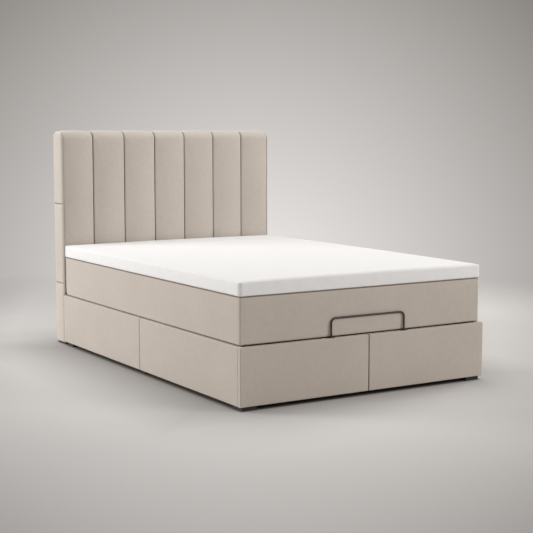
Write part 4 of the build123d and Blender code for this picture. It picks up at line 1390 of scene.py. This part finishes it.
# %% World
class Sky(Finish):
    """The world's nodes, written in the same way as a finish."""

    def __init__(self, world):
        world.use_nodes = True
        self.tree = world.node_tree
        self.tree.nodes.clear()
        self.end = self.tree.nodes.new("ShaderNodeOutputWorld")

    def shine(self, colour, strength):
        """A background of one colour and strength."""
        return self.node("ShaderNodeBackground", {}, {"Color": colour, "Strength": strength})

    def ray(self, kind):
        """1 for rays of this kind, such as Camera, and 0 for others."""
        return self.node("ShaderNodeLightPath", output=f"Is {kind} Ray")


world = bpy.data.worlds.new("studio")
scene.world = world
sky = Sky(world)

# The backdrop is palest a little to the left of and below the camera's line of sight, and
# reaches its darkest 19 degrees away, where the cosine is 0.945.
glow_yaw, glow_pitch = camera_yaw - 0.013, camera_pitch + 0.027
forward = (
    math.sin(glow_yaw) * math.cos(glow_pitch),
    math.cos(glow_yaw) * math.cos(glow_pitch),
    -math.sin(glow_pitch),
)
facing = sky.dot(sky.node("ShaderNodeTexCoord", output="Generated"), forward)
fall_off = sky.stretch(facing, 1.0, 0.945) ** 0.5
backdrop = sky.mix(fall_off, tint(241, 237, 234), tint(135, 131, 127))
seen, soft_light = sky.shine(backdrop, 1.0), sky.shine((1, 0.995, 0.985, 1), 0.37)
seen_rays = sky.ray("Camera") + sky.ray("Glossy") + sky.ray("Transmission")
shown = sky.maths("MINIMUM", seen_rays, 1)
both = sky.node("ShaderNodeMixShader", {}, [shown, soft_light, seen])
sky.tree.links.new(both.socket, sky.end.inputs[0])
print("world", world.name, "has", len(sky.tree.nodes), "nodes")

# %% [markdown]
# ## Light
# Six soft lamps. One high behind the left side makes the long side and the top of the bed
# the brightest faces and leaves the seams of the headboard dark. One in front on the right
# lights the foot end, and a weak one in front on the left fills its corner. One on the
# right grazes the headboard's channels, and one is overhead. A narrow and very weak wash
# from the front lifts only the headboard's top.

# %% Lamps
def lamp(name, place, target, size, power, colour=(1, 1, 1), spread=180):
    """A rectangular lamp that looks at target. size is in metres, power in watts."""
    data = bpy.data.lights.new(name, "AREA")
    data.spread = math.radians(spread)
    data.shape = "RECTANGLE"
    data.size, data.size_y = size
    data.energy = power
    data.color = colour
    body = bpy.data.objects.new(name, data)
    scene.collection.objects.link(body)
    body.location = place
    body.visible_camera = False
    body.rotation_euler = (Vector(target) - Vector(place)).to_track_quat("-Z", "Y").to_euler()
    return body


cool_white, warm_white = (0.98, 0.99, 1), (1, 0.995, 0.985)
lamps = [
    lamp("key_left", (-5.5, 3.4, 2.1), (0, 0, 0.6), (2.6, 2.6), 300, cool_white),
    lamp("fill_front", (2.7, -4.4, 2.2), (0.3, -1.0, 0.3), (2.2, 1.6), 86, warm_white),
    lamp("fill_corner", (-3.0, -4.8, 2.4), (-0.4, -0.6, 0.4), (2.0, 1.6), 16, warm_white),
    lamp("graze_right", (4.8, 0.1, 1.5), (0, 0.9, 0.8), (1.4, 1.6), 80, (1, 0.99, 0.97)),
    lamp("overhead", (0.2, 0.8, 4.4), (0, 0.4, 0.5), (3.2, 2.8), 82),
    lamp("head_wash", (0.4, -3.3, 2.9), (0, 1.0, 1.42), (1.6, 0.3), 0.25, spread=22),
]
print("lamps", [body.name for body in lamps])
